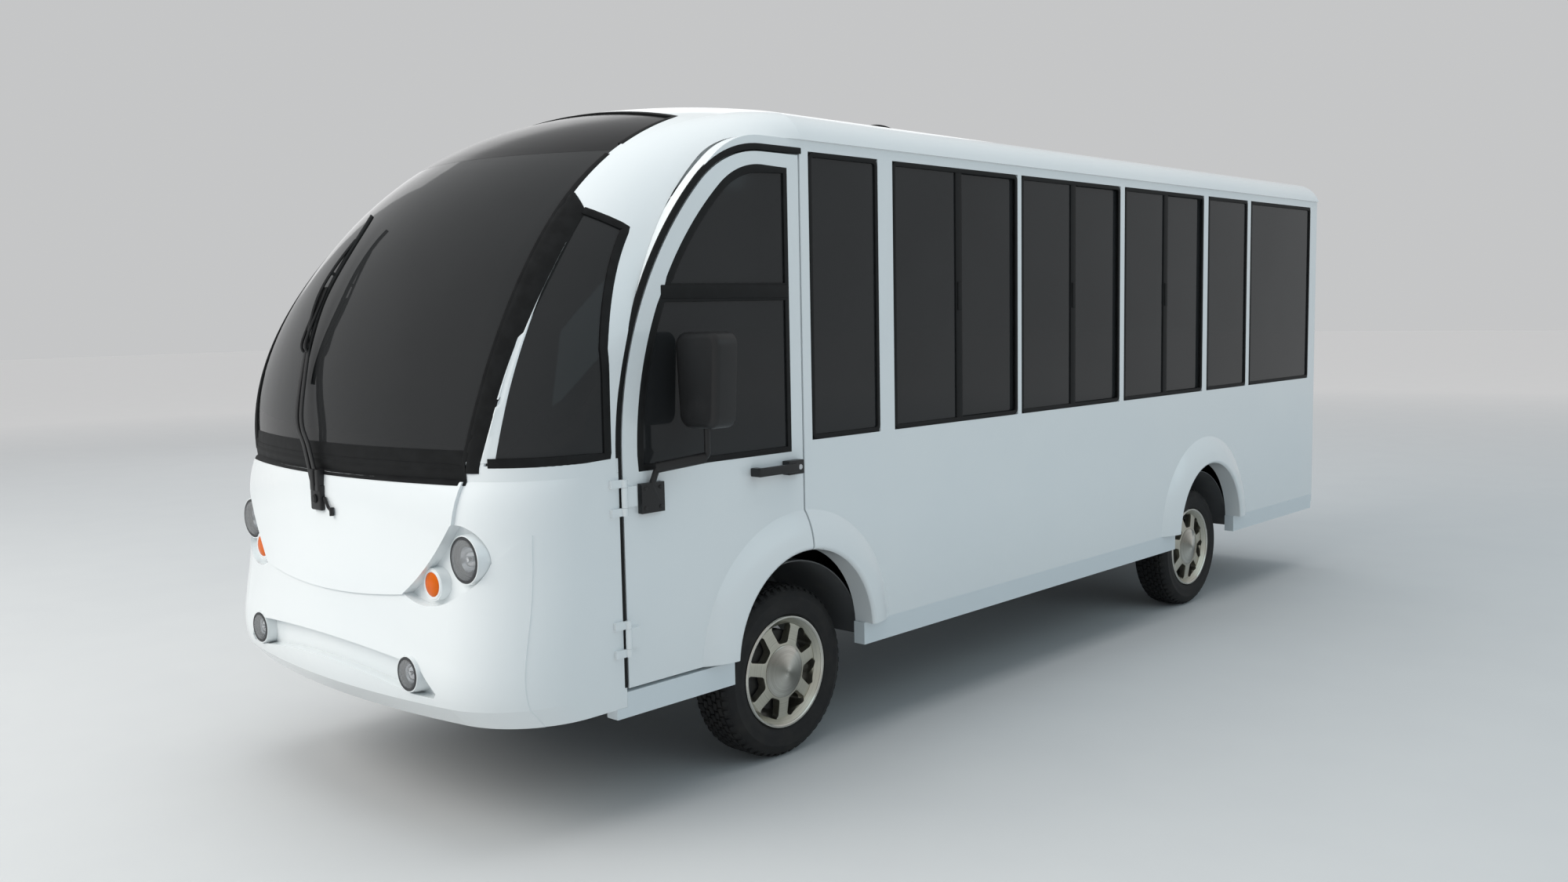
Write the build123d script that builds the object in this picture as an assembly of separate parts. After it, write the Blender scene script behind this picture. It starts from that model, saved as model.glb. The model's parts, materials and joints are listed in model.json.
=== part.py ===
"""Closed electric shuttle bus: hollow moulded body on a ladder frame, with real doors, steering and wheels.

Millimetres. X across (the bus's left side is +X), Y along (the nose points to -Y), Z up.
The origin is on the ground, under the middle of the overall length and width.
"""
from build123d import *
import math
import os

# Driving dimensions of the whole vehicle
BODY_WIDTH = 1560.0
ROOF_TOP_Z = 2130.0
WHEELBASE = 2850.0
FRONT_OVERHANG = 1230.0
REAR_CORNER = 121.0
# Side windows in order behind the front axle.
# Columns: pillar before the bay, width of the bay, number of panes
BAYS = [
    (62.0, 344.0, 1),
    (78.0, 758.0, 2),
    (26.0, 754.0, 2),
    (36.0, 740.0, 2),
    (45.0, 428.0, 1),
    (36.0, 742.0, 1),
]
ENTRY_BAY = 1
LENGTH = FRONT_OVERHANG + sum(pillar + width for pillar, width, panes in BAYS) + REAR_CORNER
HALF_WIDTH = BODY_WIDTH / 2
NOSE_Y = -LENGTH / 2
TAIL_Y = LENGTH / 2
FRONT_AXLE_Y = NOSE_Y + FRONT_OVERHANG
REAR_AXLE_Y = FRONT_AXLE_Y + WHEELBASE
AXLE_Y = {"front": FRONT_AXLE_Y, "rear": REAR_AXLE_Y}
SIDES = {"left": 1, "right": -1}
BAY_END_Y = [FRONT_AXLE_Y + sum(pillar + width for pillar, width, panes in BAYS[:n + 1])
             for n in range(len(BAYS))]
BAY_START_Y = [end - bay[1] for end, bay in zip(BAY_END_Y, BAYS)]

# Levels
SILL_BOTTOM_Z = 320.0
SILL_TOP_Z = 392.0
PANEL_BOTTOM_Z = 395.0
FLOOR_TOP_Z = 470.0
FLOOR_THICK = 30.0
WAIST_Z = 1010.0
WINDOW_BOTTOM_Z = WAIST_Z + 23.0
ROOF_EDGE_Z = ROOF_TOP_Z - 162.0
WINDOW_TOP_Z = ROOF_EDGE_Z - 33.0
NOSE_BOTTOM_Z = 350.0

# Walls, glass and clearances
WALL = 45.0
SHELL = 40.0
GLASS = 6.0
GLASS_INSET = 5.0
TRACK_PITCH = GLASS + 2.0
PANE_LAP = 20.0
SEAT_GAP = 0.5
DOOR_GAP = 8.0
RUNNING_GAP = 0.05
PIVOT_GAP = 0.3
OPEN_GAP = 6.0
CUT = 1.0

# Wheels and tyres, 165/70 R13
TYRE_R = 280.0
TYRE_WIDTH = 165.0
RIM_LIP_R = 182.0
RIM_WIDTH = 128.0
WHEEL_X = HALF_WIDTH - 152.0
SPINDLE_R = 20.0
SPINDLE_END = 52.0
SPOKES = 7
RIM_FLANGE_HEIGHT = 14.0
RIM_FLANGE_OUT = 12.0
RIM_FLANGE_IN = 7.0
RIM_FLANGE_LAND = 8.0
RIM_BEAD_OUT = 1.0
RIM_WELL_DROP = 12.0
RIM_WELL_SET = 6.0
RIM_BACK_SET = 4.0
# The disc with its spokes, as distances behind (or, for the cap, in front of) the rim's outer plane
DISC_BACK = 26.0
DISC_BACK_EDGE = 32.0
DISC_EDGE = 8.0
DISC_LAP = 2.0
CAP_EDGE_OUT = 4.0
CAP_CROWN_OUT = 8.0
BOSS_R = 46.0
BOSS_BACK = 10.0
BOSS_FRONT = 20.0
# Windows between the spokes: distance from the cap, half widths at the inner and outer end, corner radius
RIM_WINDOW_START = 14.0
RIM_WINDOW_END = 1.0
RIM_WINDOW_INNER = 20.0
RIM_WINDOW_OUTER = 52.0
RIM_WINDOW_R = 13.0
HUB_CAP_R = 78.0

# Wheel arches and flares, centred over each axle
ARCH_R = 315.0
ARCH_Z = 375.0
FLARE_R = 440.0
FLARE_OUT = 38.0
FLARE_LIP = 16.0
WELL_R = 352.0
WELL_Z = 290.0
WELL_SKIN = 4.0
WELL_BOTTOM_Z = 342.0
WELL_INNER_X = HALF_WIDTH - 395.0

# Front doors, placed from the front axle
DOOR_FRONT_Y = FRONT_AXLE_Y - 722.0
DOOR_REAR_Y = FRONT_AXLE_Y + 15.0
DOOR_TOP_Z = ROOF_EDGE_Z - 48.0
DOOR_BOTTOM_Z = 402.0
DOOR_CURVE_START_Z = WAIST_Z + 40.0
DOOR_CURVE_END_Y = FRONT_AXLE_Y - 150.0
DOOR_CURVE_RUN = DOOR_CURVE_END_Y - DOOR_FRONT_Y
DOOR_CURVE_RISE = DOOR_TOP_Z - DOOR_CURVE_START_Z
DOOR_CURVE_SPARE = 132.0
DOOR_CURVE_R = (DOOR_CURVE_RUN**2 + DOOR_CURVE_RISE**2) / (2 * DOOR_CURVE_RUN) + DOOR_CURVE_SPARE
DOOR_FRAME_FRONT = 14.0
DOOR_FRAME_TOP = 40.0
DOOR_WINDOW_MARGIN = 62.0
DOOR_WINDOW_TOP_MARGIN = 46.0
DOOR_WINDOW_REAR_MARGIN = 55.0
DOOR_WINDOW_BOTTOM_Z = WAIST_Z - 1.0
DOOR_BAR_Z = 1502.0
DOOR_BAR = 26.0

# External hinges of all doors; the pins stand a little outside the walls, in the middle of the door gap
HINGE_Z = (545.0, 940.0)
ENTRY_HINGE_Z = (600.0, 1100.0, 1600.0)
HINGE_OUT = 10.0
HINGE_R = 9.0
HINGE_LEAF = 45.0
HINGE_BARREL = 56.0
HINGE_KNUCKLE = 22.0

# Passenger door on the right side, over its window bay
ENTRY_MARGIN = 14.0
ENTRY_FRONT_Y = BAY_START_Y[ENTRY_BAY] - ENTRY_MARGIN
ENTRY_REAR_Y = BAY_END_Y[ENTRY_BAY] + ENTRY_MARGIN
ENTRY_TOP_Z = ROOF_EDGE_Z - 30.0
ENTRY_FRAME = 60.0
ENTRY_WINDOW_DROP = 300.0

# Pull handles: a lock body at the rear, a grip and a foot at the front
HANDLE_LENGTH = 211.0
HANDLE_INSET = 26.0
HANDLE_Z = WAIST_Z - 65.0
ENTRY_HANDLE_Z = 690.0
HANDLE_GRIP = 26.0
HANDLE_STAND_OFF = 24.0
HANDLE_THICK = 18.0
HANDLE_LOCK = (70.0, 30.0, 44.0)

# Mirrors: base plate on the door, bent arm and tapered housing
MIRROR_CENTRE = (HALF_WIDTH + 120.0, FRONT_AXLE_Y - 513.0, 1255.0)
MIRROR_WIDTH = 180.0
MIRROR_DEPTH = 80.0
MIRROR_HEIGHT = 268.0
MIRROR_TAPER = 16.0
MIRROR_CORNER_R = 38.0
MIRROR_EDGE_R = 20.0
MIRROR_BASE_Y = FRONT_AXLE_Y - 628.0
MIRROR_BASE_Z = 930.0
MIRROR_BASE = 42.0
MIRROR_BASE_THICK = 18.0
MIRROR_ARM_R = 9.0

# The nose and the dome above it, as sections across the bus
PILLAR_Y = DOOR_REAR_Y + DOOR_GAP
ROOF_HALF_WIDTH = HALF_WIDTH + 15.0
ROOF_RISE = ROOF_TOP_Z - WAIST_Z
HUB_REACH = 120.0
HUB_REACH_INNER = 90.0
BUMPER_REACH = PILLAR_Y - NOSE_Y
WAIST_REACH = BUMPER_REACH - 40.0
# Columns: angle above the horizon, half width, reach from the pillar line, front arc radius, corner radius
DOME = [
    (0.0, HALF_WIDTH, WAIST_REACH, 2000.0, 272.0),
    (25.0, HALF_WIDTH + 3.0, WAIST_REACH - 1.0, 1600.0, 340.0),
    (50.0, HALF_WIDTH + 10.0, (WAIST_REACH + ROOF_RISE) / 2 + 1.5, 1450.0, 400.0),
    (72.0, ROOF_HALF_WIDTH, ROOF_RISE + 8.0, 2300.0, 280.0),
    (90.0, ROOF_HALF_WIDTH, ROOF_RISE, 3500.0, 140.0),
]
LIP_RAISE = 4.0
NOSE_SWELL = 5.2
SHIELD_RAISE = 10.0
LIP_Z = 405.0
# The loft swells a little past its second row.
# Columns: height, reach from the pillar line, front arc radius, corner radius
NOSE = [
    (LIP_Z, BUMPER_REACH - 14.0, 3000.0, 258.0),
    (565.0, BUMPER_REACH - LIP_RAISE - NOSE_SWELL, 3000.0, 260.0),
    (740.0, BUMPER_REACH - 30.0, 2800.0, 262.0),
    (900.0, BUMPER_REACH - 34.0, 2700.0, 264.0),
    (WAIST_Z, WAIST_REACH, 2000.0, 272.0),
]
LIP = [(NOSE_BOTTOM_Z, BUMPER_REACH - 62.0, 3000.0, 255.0), NOSE[0]]

# Forms of the nose in the front view. Columns: distance in from the flank, height
SHIELD = [(190.0, WAIST_Z + CUT), (202.0, 898.0), (235.0, 790.0), (355.0, 700.0)]
SHIELD_CHIN_Z = 672.0
BUMPER_CREST = [(32.0, 870.0), (103.0, 795.0), (388.0, 705.0)]
LAMP_TIP = (388.0, 697.0)
LAMP_LEDGE = [(286.0, 674.0), (186.0, 710.0), (132.0, 747.0), (103.0, 792.0)]
LAMP_CREST = [(125.0, 862.0), (205.0, 897.0)]
LAMP_BROW = (272.0, 806.0)
POCKET_DEPTH = 26.0
TROUGH_CENTRE_Z = (472.0, 541.0)
TROUGH_TOP_END = (312.0, 512.0)
TROUGH_TIP = (250.0, 442.0)
TROUGH_HEEL = (262.0, 428.0)
TROUGH_LOW_END = (350.0, 430.0)
TROUGH_DEPTH = 28.0

# Lamps. Columns: distance in from the flank, height, radius, how far the face lies behind the bumper's front
HEADLAMP = (176.0, 805.0, 58.0, 105.0)
INDICATOR = (290.0, 730.0, 36.0, 79.0)
FOG_LAMP = (351.0, 485.0, 42.0, 26.0)
LAMP_WALL = 8.0
LAMP_DEPTH = 90.0
LAMP_DOMING = 0.22
POD_DEPTH = 150.0
POD_DRAFT = 22.0

# Windscreen, header and quarter glass
# The heights of the glass outlines hold for this rise of the door's curve, and stretch with that curve
GLASS_RISE = 870.0
GLASS_STRETCH = DOOR_CURVE_RISE / GLASS_RISE
# The screen's edge in the front view. Columns: distance in from the flank, height over the waist
SCREEN_EDGE = [(192.0, 32.0), (151.0, 260.0), (180.0, 580.0), (218.0, 770.0)]
SCREEN_TOP_X = HALF_WIDTH - 250.0
HEADER_FRONT_Z = ROOF_TOP_Z - 210.0
HEADER_REAR_Y = FRONT_AXLE_Y - 250.0
SCREEN_PILLAR = 42.0
# The quarter pane in the side view, along the door's curve:
# its rear edge bends from the knee by the bow to the corner under its sloping top
QUARTER_BOTTOM_Z = WAIST_Z + 42.0
QUARTER_REAR_Y = DOOR_FRONT_Y - 42.0
QUARTER_KNEE_Z = DOOR_CURVE_START_Z + 300.0 * GLASS_STRETCH
QUARTER_BOW = (DOOR_FRONT_Y + 14.0, DOOR_CURVE_START_Z + 478.0 * GLASS_STRETCH)
QUARTER_CORNER = (DOOR_FRONT_Y + 108.0, DOOR_CURVE_START_Z + 632.0 * GLASS_STRETCH)
QUARTER_TIP = (109.0, 72.0)

# Rear wall: half width, bottom and top of the window, then the round lamps
REAR_CORNER_R = 40.0
REAR_WALL_DROP = 40.0
REAR_WINDOW = (HALF_WIDTH - 160.0, WAIST_Z + 70.0, ROOF_EDGE_Z - 68.0)
TAIL_LAMP_X = HALF_WIDTH - 120.0
TAIL_LAMP_Z = (640.0, 780.0, 920.0)
TAIL_LAMP_R = 50.0
TAIL_LAMP_DEPTH = 25.0

# Roof ventilator
VENT_Y = FRONT_AXLE_Y + 1150.0
VENT_HALF_LENGTH = 170.0
VENT_HALF_WIDTH = 200.0
VENT_RISE = 50.0
VENT_SINK = 6.0

# Chassis
RAIL_X = HALF_WIDTH - 440.0
RAIL_WIDTH = 60.0
RAIL_TOP_Z = FLOOR_TOP_Z - FLOOR_THICK
RAIL_HEIGHT = 70.0
RAIL_FRONT_Y = NOSE_Y + 330.0
RAIL_REAR_Y = TAIL_Y - 160.0
CROSS_MEMBER = 60.0
CROSS_INSET = 8.0
CROSS_REACH = 560.0
CROSS_END = 40.0
AXLE_BEAM = 60.0
BEAM_SLIM = 0.8
SPRING_REACH = 430.0
SPRING_THICK = 16.0
SPRING_OVERHANG = 20.0
HANGER_DROP = 22.0
KINGPIN_X = WHEEL_X - 106.0
KINGPIN_R = 14.0
EYE_R = 30.0
EAR_THICK = 24.0
KNUCKLE_WEB = (36.0, 16.0, 45.0)
STEER_ARM = 130.0
STEER_ARM_HALF = 14.0
STEER_ARM_THICK = 18.0
STEER_EYE_R = 18.0
STEER_PIN_R = 9.0
TIE_ROD_Z = 215.0
TIE_ROD_R = 9.0
TIE_EYE_R = 20.0
TIE_EYE_HALF = 10.0
TOW_REACH = 90.0
TOW_THICK = 24.0
TOW_HALF = 40.0
TOW_BORE_R = 16.0
TOW_BORE_INSET = 34.0
DIFF_X = 60.0
DIFF_R = 95.0
MOTOR_R = 105.0
MOTOR_REACH = (330.0, 40.0)
HUB_END = 60.0
BATTERY_HALF = 280.0
BATTERY_BOTTOM_Z = 225.0
BATTERY_END = 640.0

# Cabin
DASH_Y = FRONT_AXLE_Y - 800.0
DASH_HALF = HALF_WIDTH - 220.0
# Columns: distance behind the dash line, distance below the waist
DASH_PROFILE = [(-190.0, 250.0), (-190.0, 20.0), (-40.0, 10.0), (40.0, 60.0), (20.0, 220.0)]
DASH_LEG = (40.0, -160.0, -100.0)
DRIVER_X = HALF_WIDTH - 410.0
STEER_HUB = (FRONT_AXLE_Y - 560.0, WAIST_Z)
STEER_TILT = -35.0
STEER_R = 190.0
STEER_GRIP_R = 14.0
STEER_HUB_R = 40.0
STEER_SPOKE = (26.0, 12.0)
COLUMN_R = 22.0
COLUMN_LENGTH = 800.0
SEAT_TOP_Z = 800.0
SEAT_DEPTH = 430.0
SEAT_PAD = 110.0
SEAT_BACK_TOP_Z = 1330.0
SEAT_BACK_LOW = 90.0
SEAT_BACK_HIGH = 70.0
SEAT_LEAN = 70.0
SEAT_TUCK = 30.0
PEDESTAL_INSET = 60.0
FRONT_SEAT_Y = FRONT_AXLE_Y - 170.0
FRONT_SEAT_HALF = 230.0
FRONT_PEDESTAL = (160.0, 380.0)
SEAT_WALL_X = HALF_WIDTH - 80.0
# Columns: distance behind the front axle, low x, high x, low and high x of the pedestal
BENCHES = [
    (500.0, 40.0, SEAT_WALL_X, 60.0, 370.0),
    (1340.0, 40.0, SEAT_WALL_X, 60.0, 370.0),
    (2090.0, 40.0, SEAT_WALL_X, 60.0, 370.0),
    (2840.0, 40.0, SEAT_WALL_X, 60.0, 370.0),
    (1340.0, -SEAT_WALL_X, -330.0, -680.0, -350.0),
    (2090.0, -SEAT_WALL_X, -330.0, -680.0, -350.0),
    (2840.0, -SEAT_WALL_X, -330.0, -375.0, -340.0),
    (3600.0, -SEAT_WALL_X, SEAT_WALL_X, -680.0, 680.0),
]

# Wiper: pivot on the nose, twin arms to a joint on the blade
WIPER_Z = WAIST_Z - 80.0
WIPER_FRONT_Y = NOSE_Y + 8.0
WIPER_BOSS = (28.0, 120.0)
WIPER_LOW = (-120.0, NOSE_Y + 48.0, WAIST_Z + 250.0)
WIPER_MIDDLE = (-97.0, NOSE_Y + 124.0, WAIST_Z + 495.0)
WIPER_HIGH = (-80.0, NOSE_Y + 282.0, WAIST_Z + 740.0)
WIPER_ELBOW = (-75.0, NOSE_Y + 14.0, WAIST_Z + 160.0)
WIPER_JOINT = (-112.0, NOSE_Y + 72.0, WAIST_Z + 365.0)
WIPER_ROD_R = 6.0
WIPER_BLADE_R = 8.0
WIPER_ARM_X = 14.0
WIPER_BEND_R = 60.0


def arc_corner_outline(half_width, reach, front_radius, corner_radius, base):
    """Face of a section: straight flanks, tangent corner arcs, wide front arc; local X across, Y out."""
    centre = reach - front_radius
    inner = front_radius - corner_radius
    corner_x = half_width - corner_radius
    corner_y = centre + math.sqrt(inner**2 - corner_x**2)
    touch_x = front_radius * corner_x / inner
    touch_y = centre + front_radius * (corner_y - centre) / inner
    half = 0.5 * (math.atan2(touch_y - corner_y, touch_x - corner_x))
    mid_x = corner_x + corner_radius * math.cos(half)
    mid_y = corner_y + corner_radius * math.sin(half)
    wire = Wire([
        Line((-half_width, base), (-half_width, corner_y)),
        ThreePointArc((-half_width, corner_y), (-mid_x, mid_y), (-touch_x, touch_y)),
        ThreePointArc((-touch_x, touch_y), (0, reach), (touch_x, touch_y)),
        ThreePointArc((touch_x, touch_y), (mid_x, mid_y), (half_width, corner_y)),
        Line((half_width, corner_y), (half_width, base)),
        Line((half_width, base), (-half_width, base)),
    ])
    return make_face(wire)


def fan_plane(angle):
    """Plane through the pillar line at the waist, turned up from the horizon by the angle."""
    s, c = math.sin(math.radians(angle)), math.cos(math.radians(angle))
    return Plane(origin=(0, PILLAR_Y, WAIST_Z), x_dir=(1, 0, 0), z_dir=(0, -s, -c))


def dome(offset, base):
    """Solid inside the domed front above the waist, with its skin moved in by the offset."""
    return loft([
        fan_plane(angle) * arc_corner_outline(w - offset, reach - offset, front - offset,
                                              corner - offset, base)
        for angle, w, reach, front, corner in DOME
    ])


def nose_block(offset, base, lift=0.0):
    """Solid inside the nose below the waist: skin moved in by the offset, front pushed out by the lift."""
    def section(row):
        z, reach, front, corner = row
        plane = Plane(origin=(0, PILLAR_Y, z), x_dir=(1, 0, 0), z_dir=(0, 0, -1))
        return plane * arc_corner_outline(HALF_WIDTH - offset, reach + lift - offset, front - offset,
                                          corner - offset, base)
    upper = loft([section(row) for row in NOSE])
    lip = loft([section(row) for row in LIP], ruled=True)
    return upper + lip


def front_prism(face):
    """Extrudes a front-view face (local X is the bus's X, local Y is Z) through the whole nose."""
    plane = Plane(origin=(0, PILLAR_Y, 0), x_dir=(1, 0, 0), z_dir=(0, -1, 0))
    return extrude(plane * face, BUMPER_REACH + WALL)


def at_flank(inset, z, side=1):
    """Point of the front view, given by its distance in from the flank and its height."""
    return (side * (HALF_WIDTH - inset), z)


def shield_face():
    """Raised shield under the windscreen, with a round chin."""
    right = [at_flank(*point) for point in SHIELD]
    left = [at_flank(*point, -1) for point in SHIELD]
    return make_face(Wire([
        *Polyline(*right).edges(),
        ThreePointArc(right[-1], (0, SHIELD_CHIN_Z), left[-1]),
        *Polyline(*left[::-1]).edges(),
        Line(left[0], right[0]),
    ]))


def bumper_face():
    """Proud bumper below the crest line that runs up from the lamps to the doors."""
    right = [at_flank(*point) for point in BUMPER_CREST]
    left = [at_flank(*point, -1) for point in BUMPER_CREST]
    foot = NOSE_BOTTOM_Z - CUT
    return make_face(Polyline((right[0][0], foot), *right, *left[::-1], (left[0][0], foot), close=True))


def lamp_pocket_face():
    """Eye-shaped recess of the left headlamp and indicator."""
    tip, brow = at_flank(*LAMP_TIP), at_flank(*LAMP_BROW)
    ledge = [at_flank(*point) for point in LAMP_LEDGE]
    side, crest = [at_flank(*point) for point in LAMP_CREST]
    return make_face(Wire([
        ThreePointArc(tip, ledge[0], ledge[1]),
        ThreePointArc(ledge[1], ledge[2], ledge[3]),
        ThreePointArc(ledge[3], side, crest),
        ThreePointArc(crest, brow, tip),
    ]))


def trough_face():
    """Long recess in the bumper with a fog lamp at each end."""
    low, high = TROUGH_CENTRE_Z
    ends = [TROUGH_TOP_END, TROUGH_TIP, TROUGH_HEEL, TROUGH_LOW_END]
    right = [at_flank(*point) for point in ends]
    left = [at_flank(*point, -1) for point in ends]
    return make_face(Wire([
        ThreePointArc(left[0], (0, high), right[0]),
        *Polyline(*right).edges(),
        ThreePointArc(right[-1], (0, low), left[-1]),
        *Polyline(*left[::-1]).edges(),
    ]))


def side_prism(face_points_or_face, x_low, x_high):
    """Extrudes a face drawn in the side view (local X is the bus's Y, local Y is Z) from x_low to x_high."""
    plane = Plane(origin=(x_low, 0, 0), x_dir=(0, 1, 0), z_dir=(1, 0, 0))
    return extrude(plane * face_points_or_face, x_high - x_low)


def box(x0, x1, y0, y1, z0, z1):
    """Box from its limits."""
    return Pos((x0 + x1) / 2, (y0 + y1) / 2, (z0 + z1) / 2) * Box(x1 - x0, y1 - y0, z1 - z0)


def cylinder_x(radius, x0, x1, y, z):
    """Cylinder along X."""
    return Pos((x0 + x1) / 2, y, z) * Rot(0, 90, 0) * Cylinder(radius, x1 - x0)


def cylinder_y(radius, y0, y1, x, z):
    """Cylinder along Y."""
    return Pos(x, (y0 + y1) / 2, z) * Rot(90, 0, 0) * Cylinder(radius, y1 - y0)


def cylinder_z(radius, z0, z1, x, y):
    """Cylinder along Z."""
    return Pos(x, y, (z0 + z1) / 2) * Cylinder(radius, z1 - z0)


def both_sides(shape):
    """The shape and its mirror image on the bus's right side."""
    return Compound([*shape.solids(), *mirror(shape, about=Plane.YZ).solids()])


def to_right(shape):
    """The mirror image on the bus's right side."""
    return mirror(shape, about=Plane.YZ)


def door_curve(front_y, top_z):
    """Edges from the vertical front edge to the flat top edge: a wide arc, then a tangent small one."""
    run = DOOR_CURVE_END_Y - front_y
    rise = top_z - DOOR_CURVE_START_Z
    big = DOOR_CURVE_R + (DOOR_FRONT_Y - front_y)
    small = (2 * big * run - run**2 - rise**2) / (2 * (big - rise))
    c1 = Vector(front_y + big, DOOR_CURVE_START_Z)
    c2 = Vector(DOOR_CURVE_END_Y, top_z - small)
    toward = (c2 - c1).normalized()
    joint = c1 + toward * big
    turn = math.atan2(toward.Y, toward.X)
    mid1 = c1 + Vector(math.cos((math.pi + turn) / 2), math.sin((math.pi + turn) / 2)) * big
    half = (turn + math.pi / 2) / 2
    mid2 = c2 + Vector(math.cos(half), math.sin(half)) * small
    return [
        ThreePointArc((front_y, DOOR_CURVE_START_Z), mid1, joint),
        ThreePointArc(joint, mid2, (DOOR_CURVE_END_Y, top_z)),
    ]


def door_outline(front_y, rear_y, bottom_z, top_z):
    """Face of a door-like outline in the side view."""
    return make_face(Wire([
        Line((front_y, bottom_z), (front_y, DOOR_CURVE_START_Z)),
        *door_curve(front_y, top_z),
        Line((DOOR_CURVE_END_Y, top_z), (rear_y, top_z)),
        Line((rear_y, top_z), (rear_y, bottom_z)),
        Line((rear_y, bottom_z), (front_y, bottom_z)),
    ]))


def rectangle(y0, y1, z0, z1):
    """Face of a rectangle in the side view."""
    return Pos((y0 + y1) / 2, (z0 + z1) / 2) * Rectangle(y1 - y0, z1 - z0)


def flare(axle_y):
    """Bulging ring round a wheel arch, wall and lip in one, on the left side."""
    x0, x1 = HALF_WIDTH - WALL, HALF_WIDTH
    lip = x1 + FLARE_OUT
    crown = ARCH_R + FLARE_LIP
    middle = (crown + FLARE_R) / 2
    profile = make_face(Wire([
        Line((ARCH_R, x0), (ARCH_R, lip - FLARE_LIP / 2)),
        ThreePointArc((ARCH_R, lip - FLARE_LIP / 2), (ARCH_R + FLARE_LIP / 3, lip - FLARE_LIP / 8),
                      (crown, lip)),
        ThreePointArc((crown, lip), (middle, lip - FLARE_OUT * 0.28), (FLARE_R, x1)),
        Line((FLARE_R, x1), (FLARE_R, x0)),
        Line((FLARE_R, x0), (ARCH_R, x0)),
    ]))
    plane = Plane(origin=(0, axle_y, ARCH_Z), x_dir=(0, 1, 0), z_dir=(0, 0, -1))
    ring = revolve(plane * profile, axis=Axis((0, axle_y, ARCH_Z), (1, 0, 0)))
    room = FLARE_R + CUT
    return ring & box(x0, lip + CUT, axle_y - room, axle_y + room, PANEL_BOTTOM_Z, WAIST_Z)


def arch_cut(axle_y):
    """Cylinder that opens a wall over the wheel."""
    return cylinder_x(ARCH_R, HALF_WIDTH - WALL - CUT, HALF_WIDTH + FLARE_OUT + CUT, axle_y, ARCH_Z)


def flare_seat(axle_y):
    """Cylinder that the flare ring replaces in a wall."""
    return cylinder_x(FLARE_R, HALF_WIDTH - WALL, HALF_WIDTH, axle_y, ARCH_Z)


def screen_outline(margin):
    """Windscreen outline in the front view (local X is the bus's X, local Y is Z), less the margin."""
    edge = [(HALF_WIDTH - inset - margin, WAIST_Z + height * GLASS_STRETCH) for inset, height in SCREEN_EDGE]
    edge[0] = (edge[0][0], edge[0][1] + margin)
    edge.append((SCREEN_TOP_X - margin, ROOF_TOP_Z + SHELL / 2))
    far = [(-x, z) for x, z in reversed(edge)]
    return make_face(Wire([
        Line(far[-1], edge[0]),
        Spline(*edge),
        Line(edge[-1], far[0]),
        Spline(*far),
    ]))


def screen_prism(margin, front_y, rear_y):
    """Windscreen outline extruded along the bus."""
    plane = Plane(origin=(0, rear_y, 0), x_dir=(1, 0, 0), z_dir=(0, -1, 0))
    return extrude(plane * screen_outline(margin), rear_y - front_y)


def quarter_prism(margin):
    """Quarter glass opening on the left: a side view outline, kept behind the windscreen's pillar."""
    rear, bottom = QUARTER_REAR_Y - margin, QUARTER_BOTTOM_Z + margin
    ahead = NOSE_Y - WALL
    bow = (QUARTER_BOW[0] - margin, QUARTER_BOW[1])
    corner = (QUARTER_CORNER[0] - margin, QUARTER_CORNER[1] - margin)
    tip = (corner[0] - QUARTER_TIP[0], corner[1] + QUARTER_TIP[1])
    knee = (rear, QUARTER_KNEE_Z)
    face = make_face(Wire([
        *Polyline(corner, tip, (ahead, tip[1]), (ahead, bottom), (rear, bottom), knee).edges(),
        ThreePointArc(knee, bow, corner),
    ]))
    prism = side_prism(face, SCREEN_TOP_X / 2, HALF_WIDTH + WALL)
    pillar = screen_prism(-SCREEN_PILLAR - margin, NOSE_Y - WALL - CUT, PILLAR_Y)
    return prism - pillar


# Body shells

def make_front_hoop():
    """White hoop round the windscreen: the dome's skin with its glass and door openings cut."""
    shell = dome(0, HUB_REACH) - dome(SHELL, HUB_REACH_INNER)
    opening = door_outline(DOOR_FRONT_Y - DOOR_GAP - DOOR_FRAME_FRONT, PILLAR_Y + CUT, WAIST_Z - CUT,
                           DOOR_TOP_Z + DOOR_GAP + DOOR_FRAME_TOP)
    shell -= side_prism(opening, HALF_WIDTH - 2 * WALL, ROOF_HALF_WIDTH + CUT)
    shell -= side_prism(opening, -ROOF_HALF_WIDTH - CUT, -HALF_WIDTH + 2 * WALL)
    shell -= screen_prism(0, NOSE_Y - WALL, HEADER_REAR_Y)
    quarter = quarter_prism(0)
    shell -= quarter
    shell -= to_right(quarter)
    return shell


def glass_shell():
    """Skin that the windscreen, header and quarter glass are cut from."""
    return dome(GLASS_INSET, HUB_REACH) - dome(GLASS_INSET + GLASS, HUB_REACH_INNER)


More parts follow.
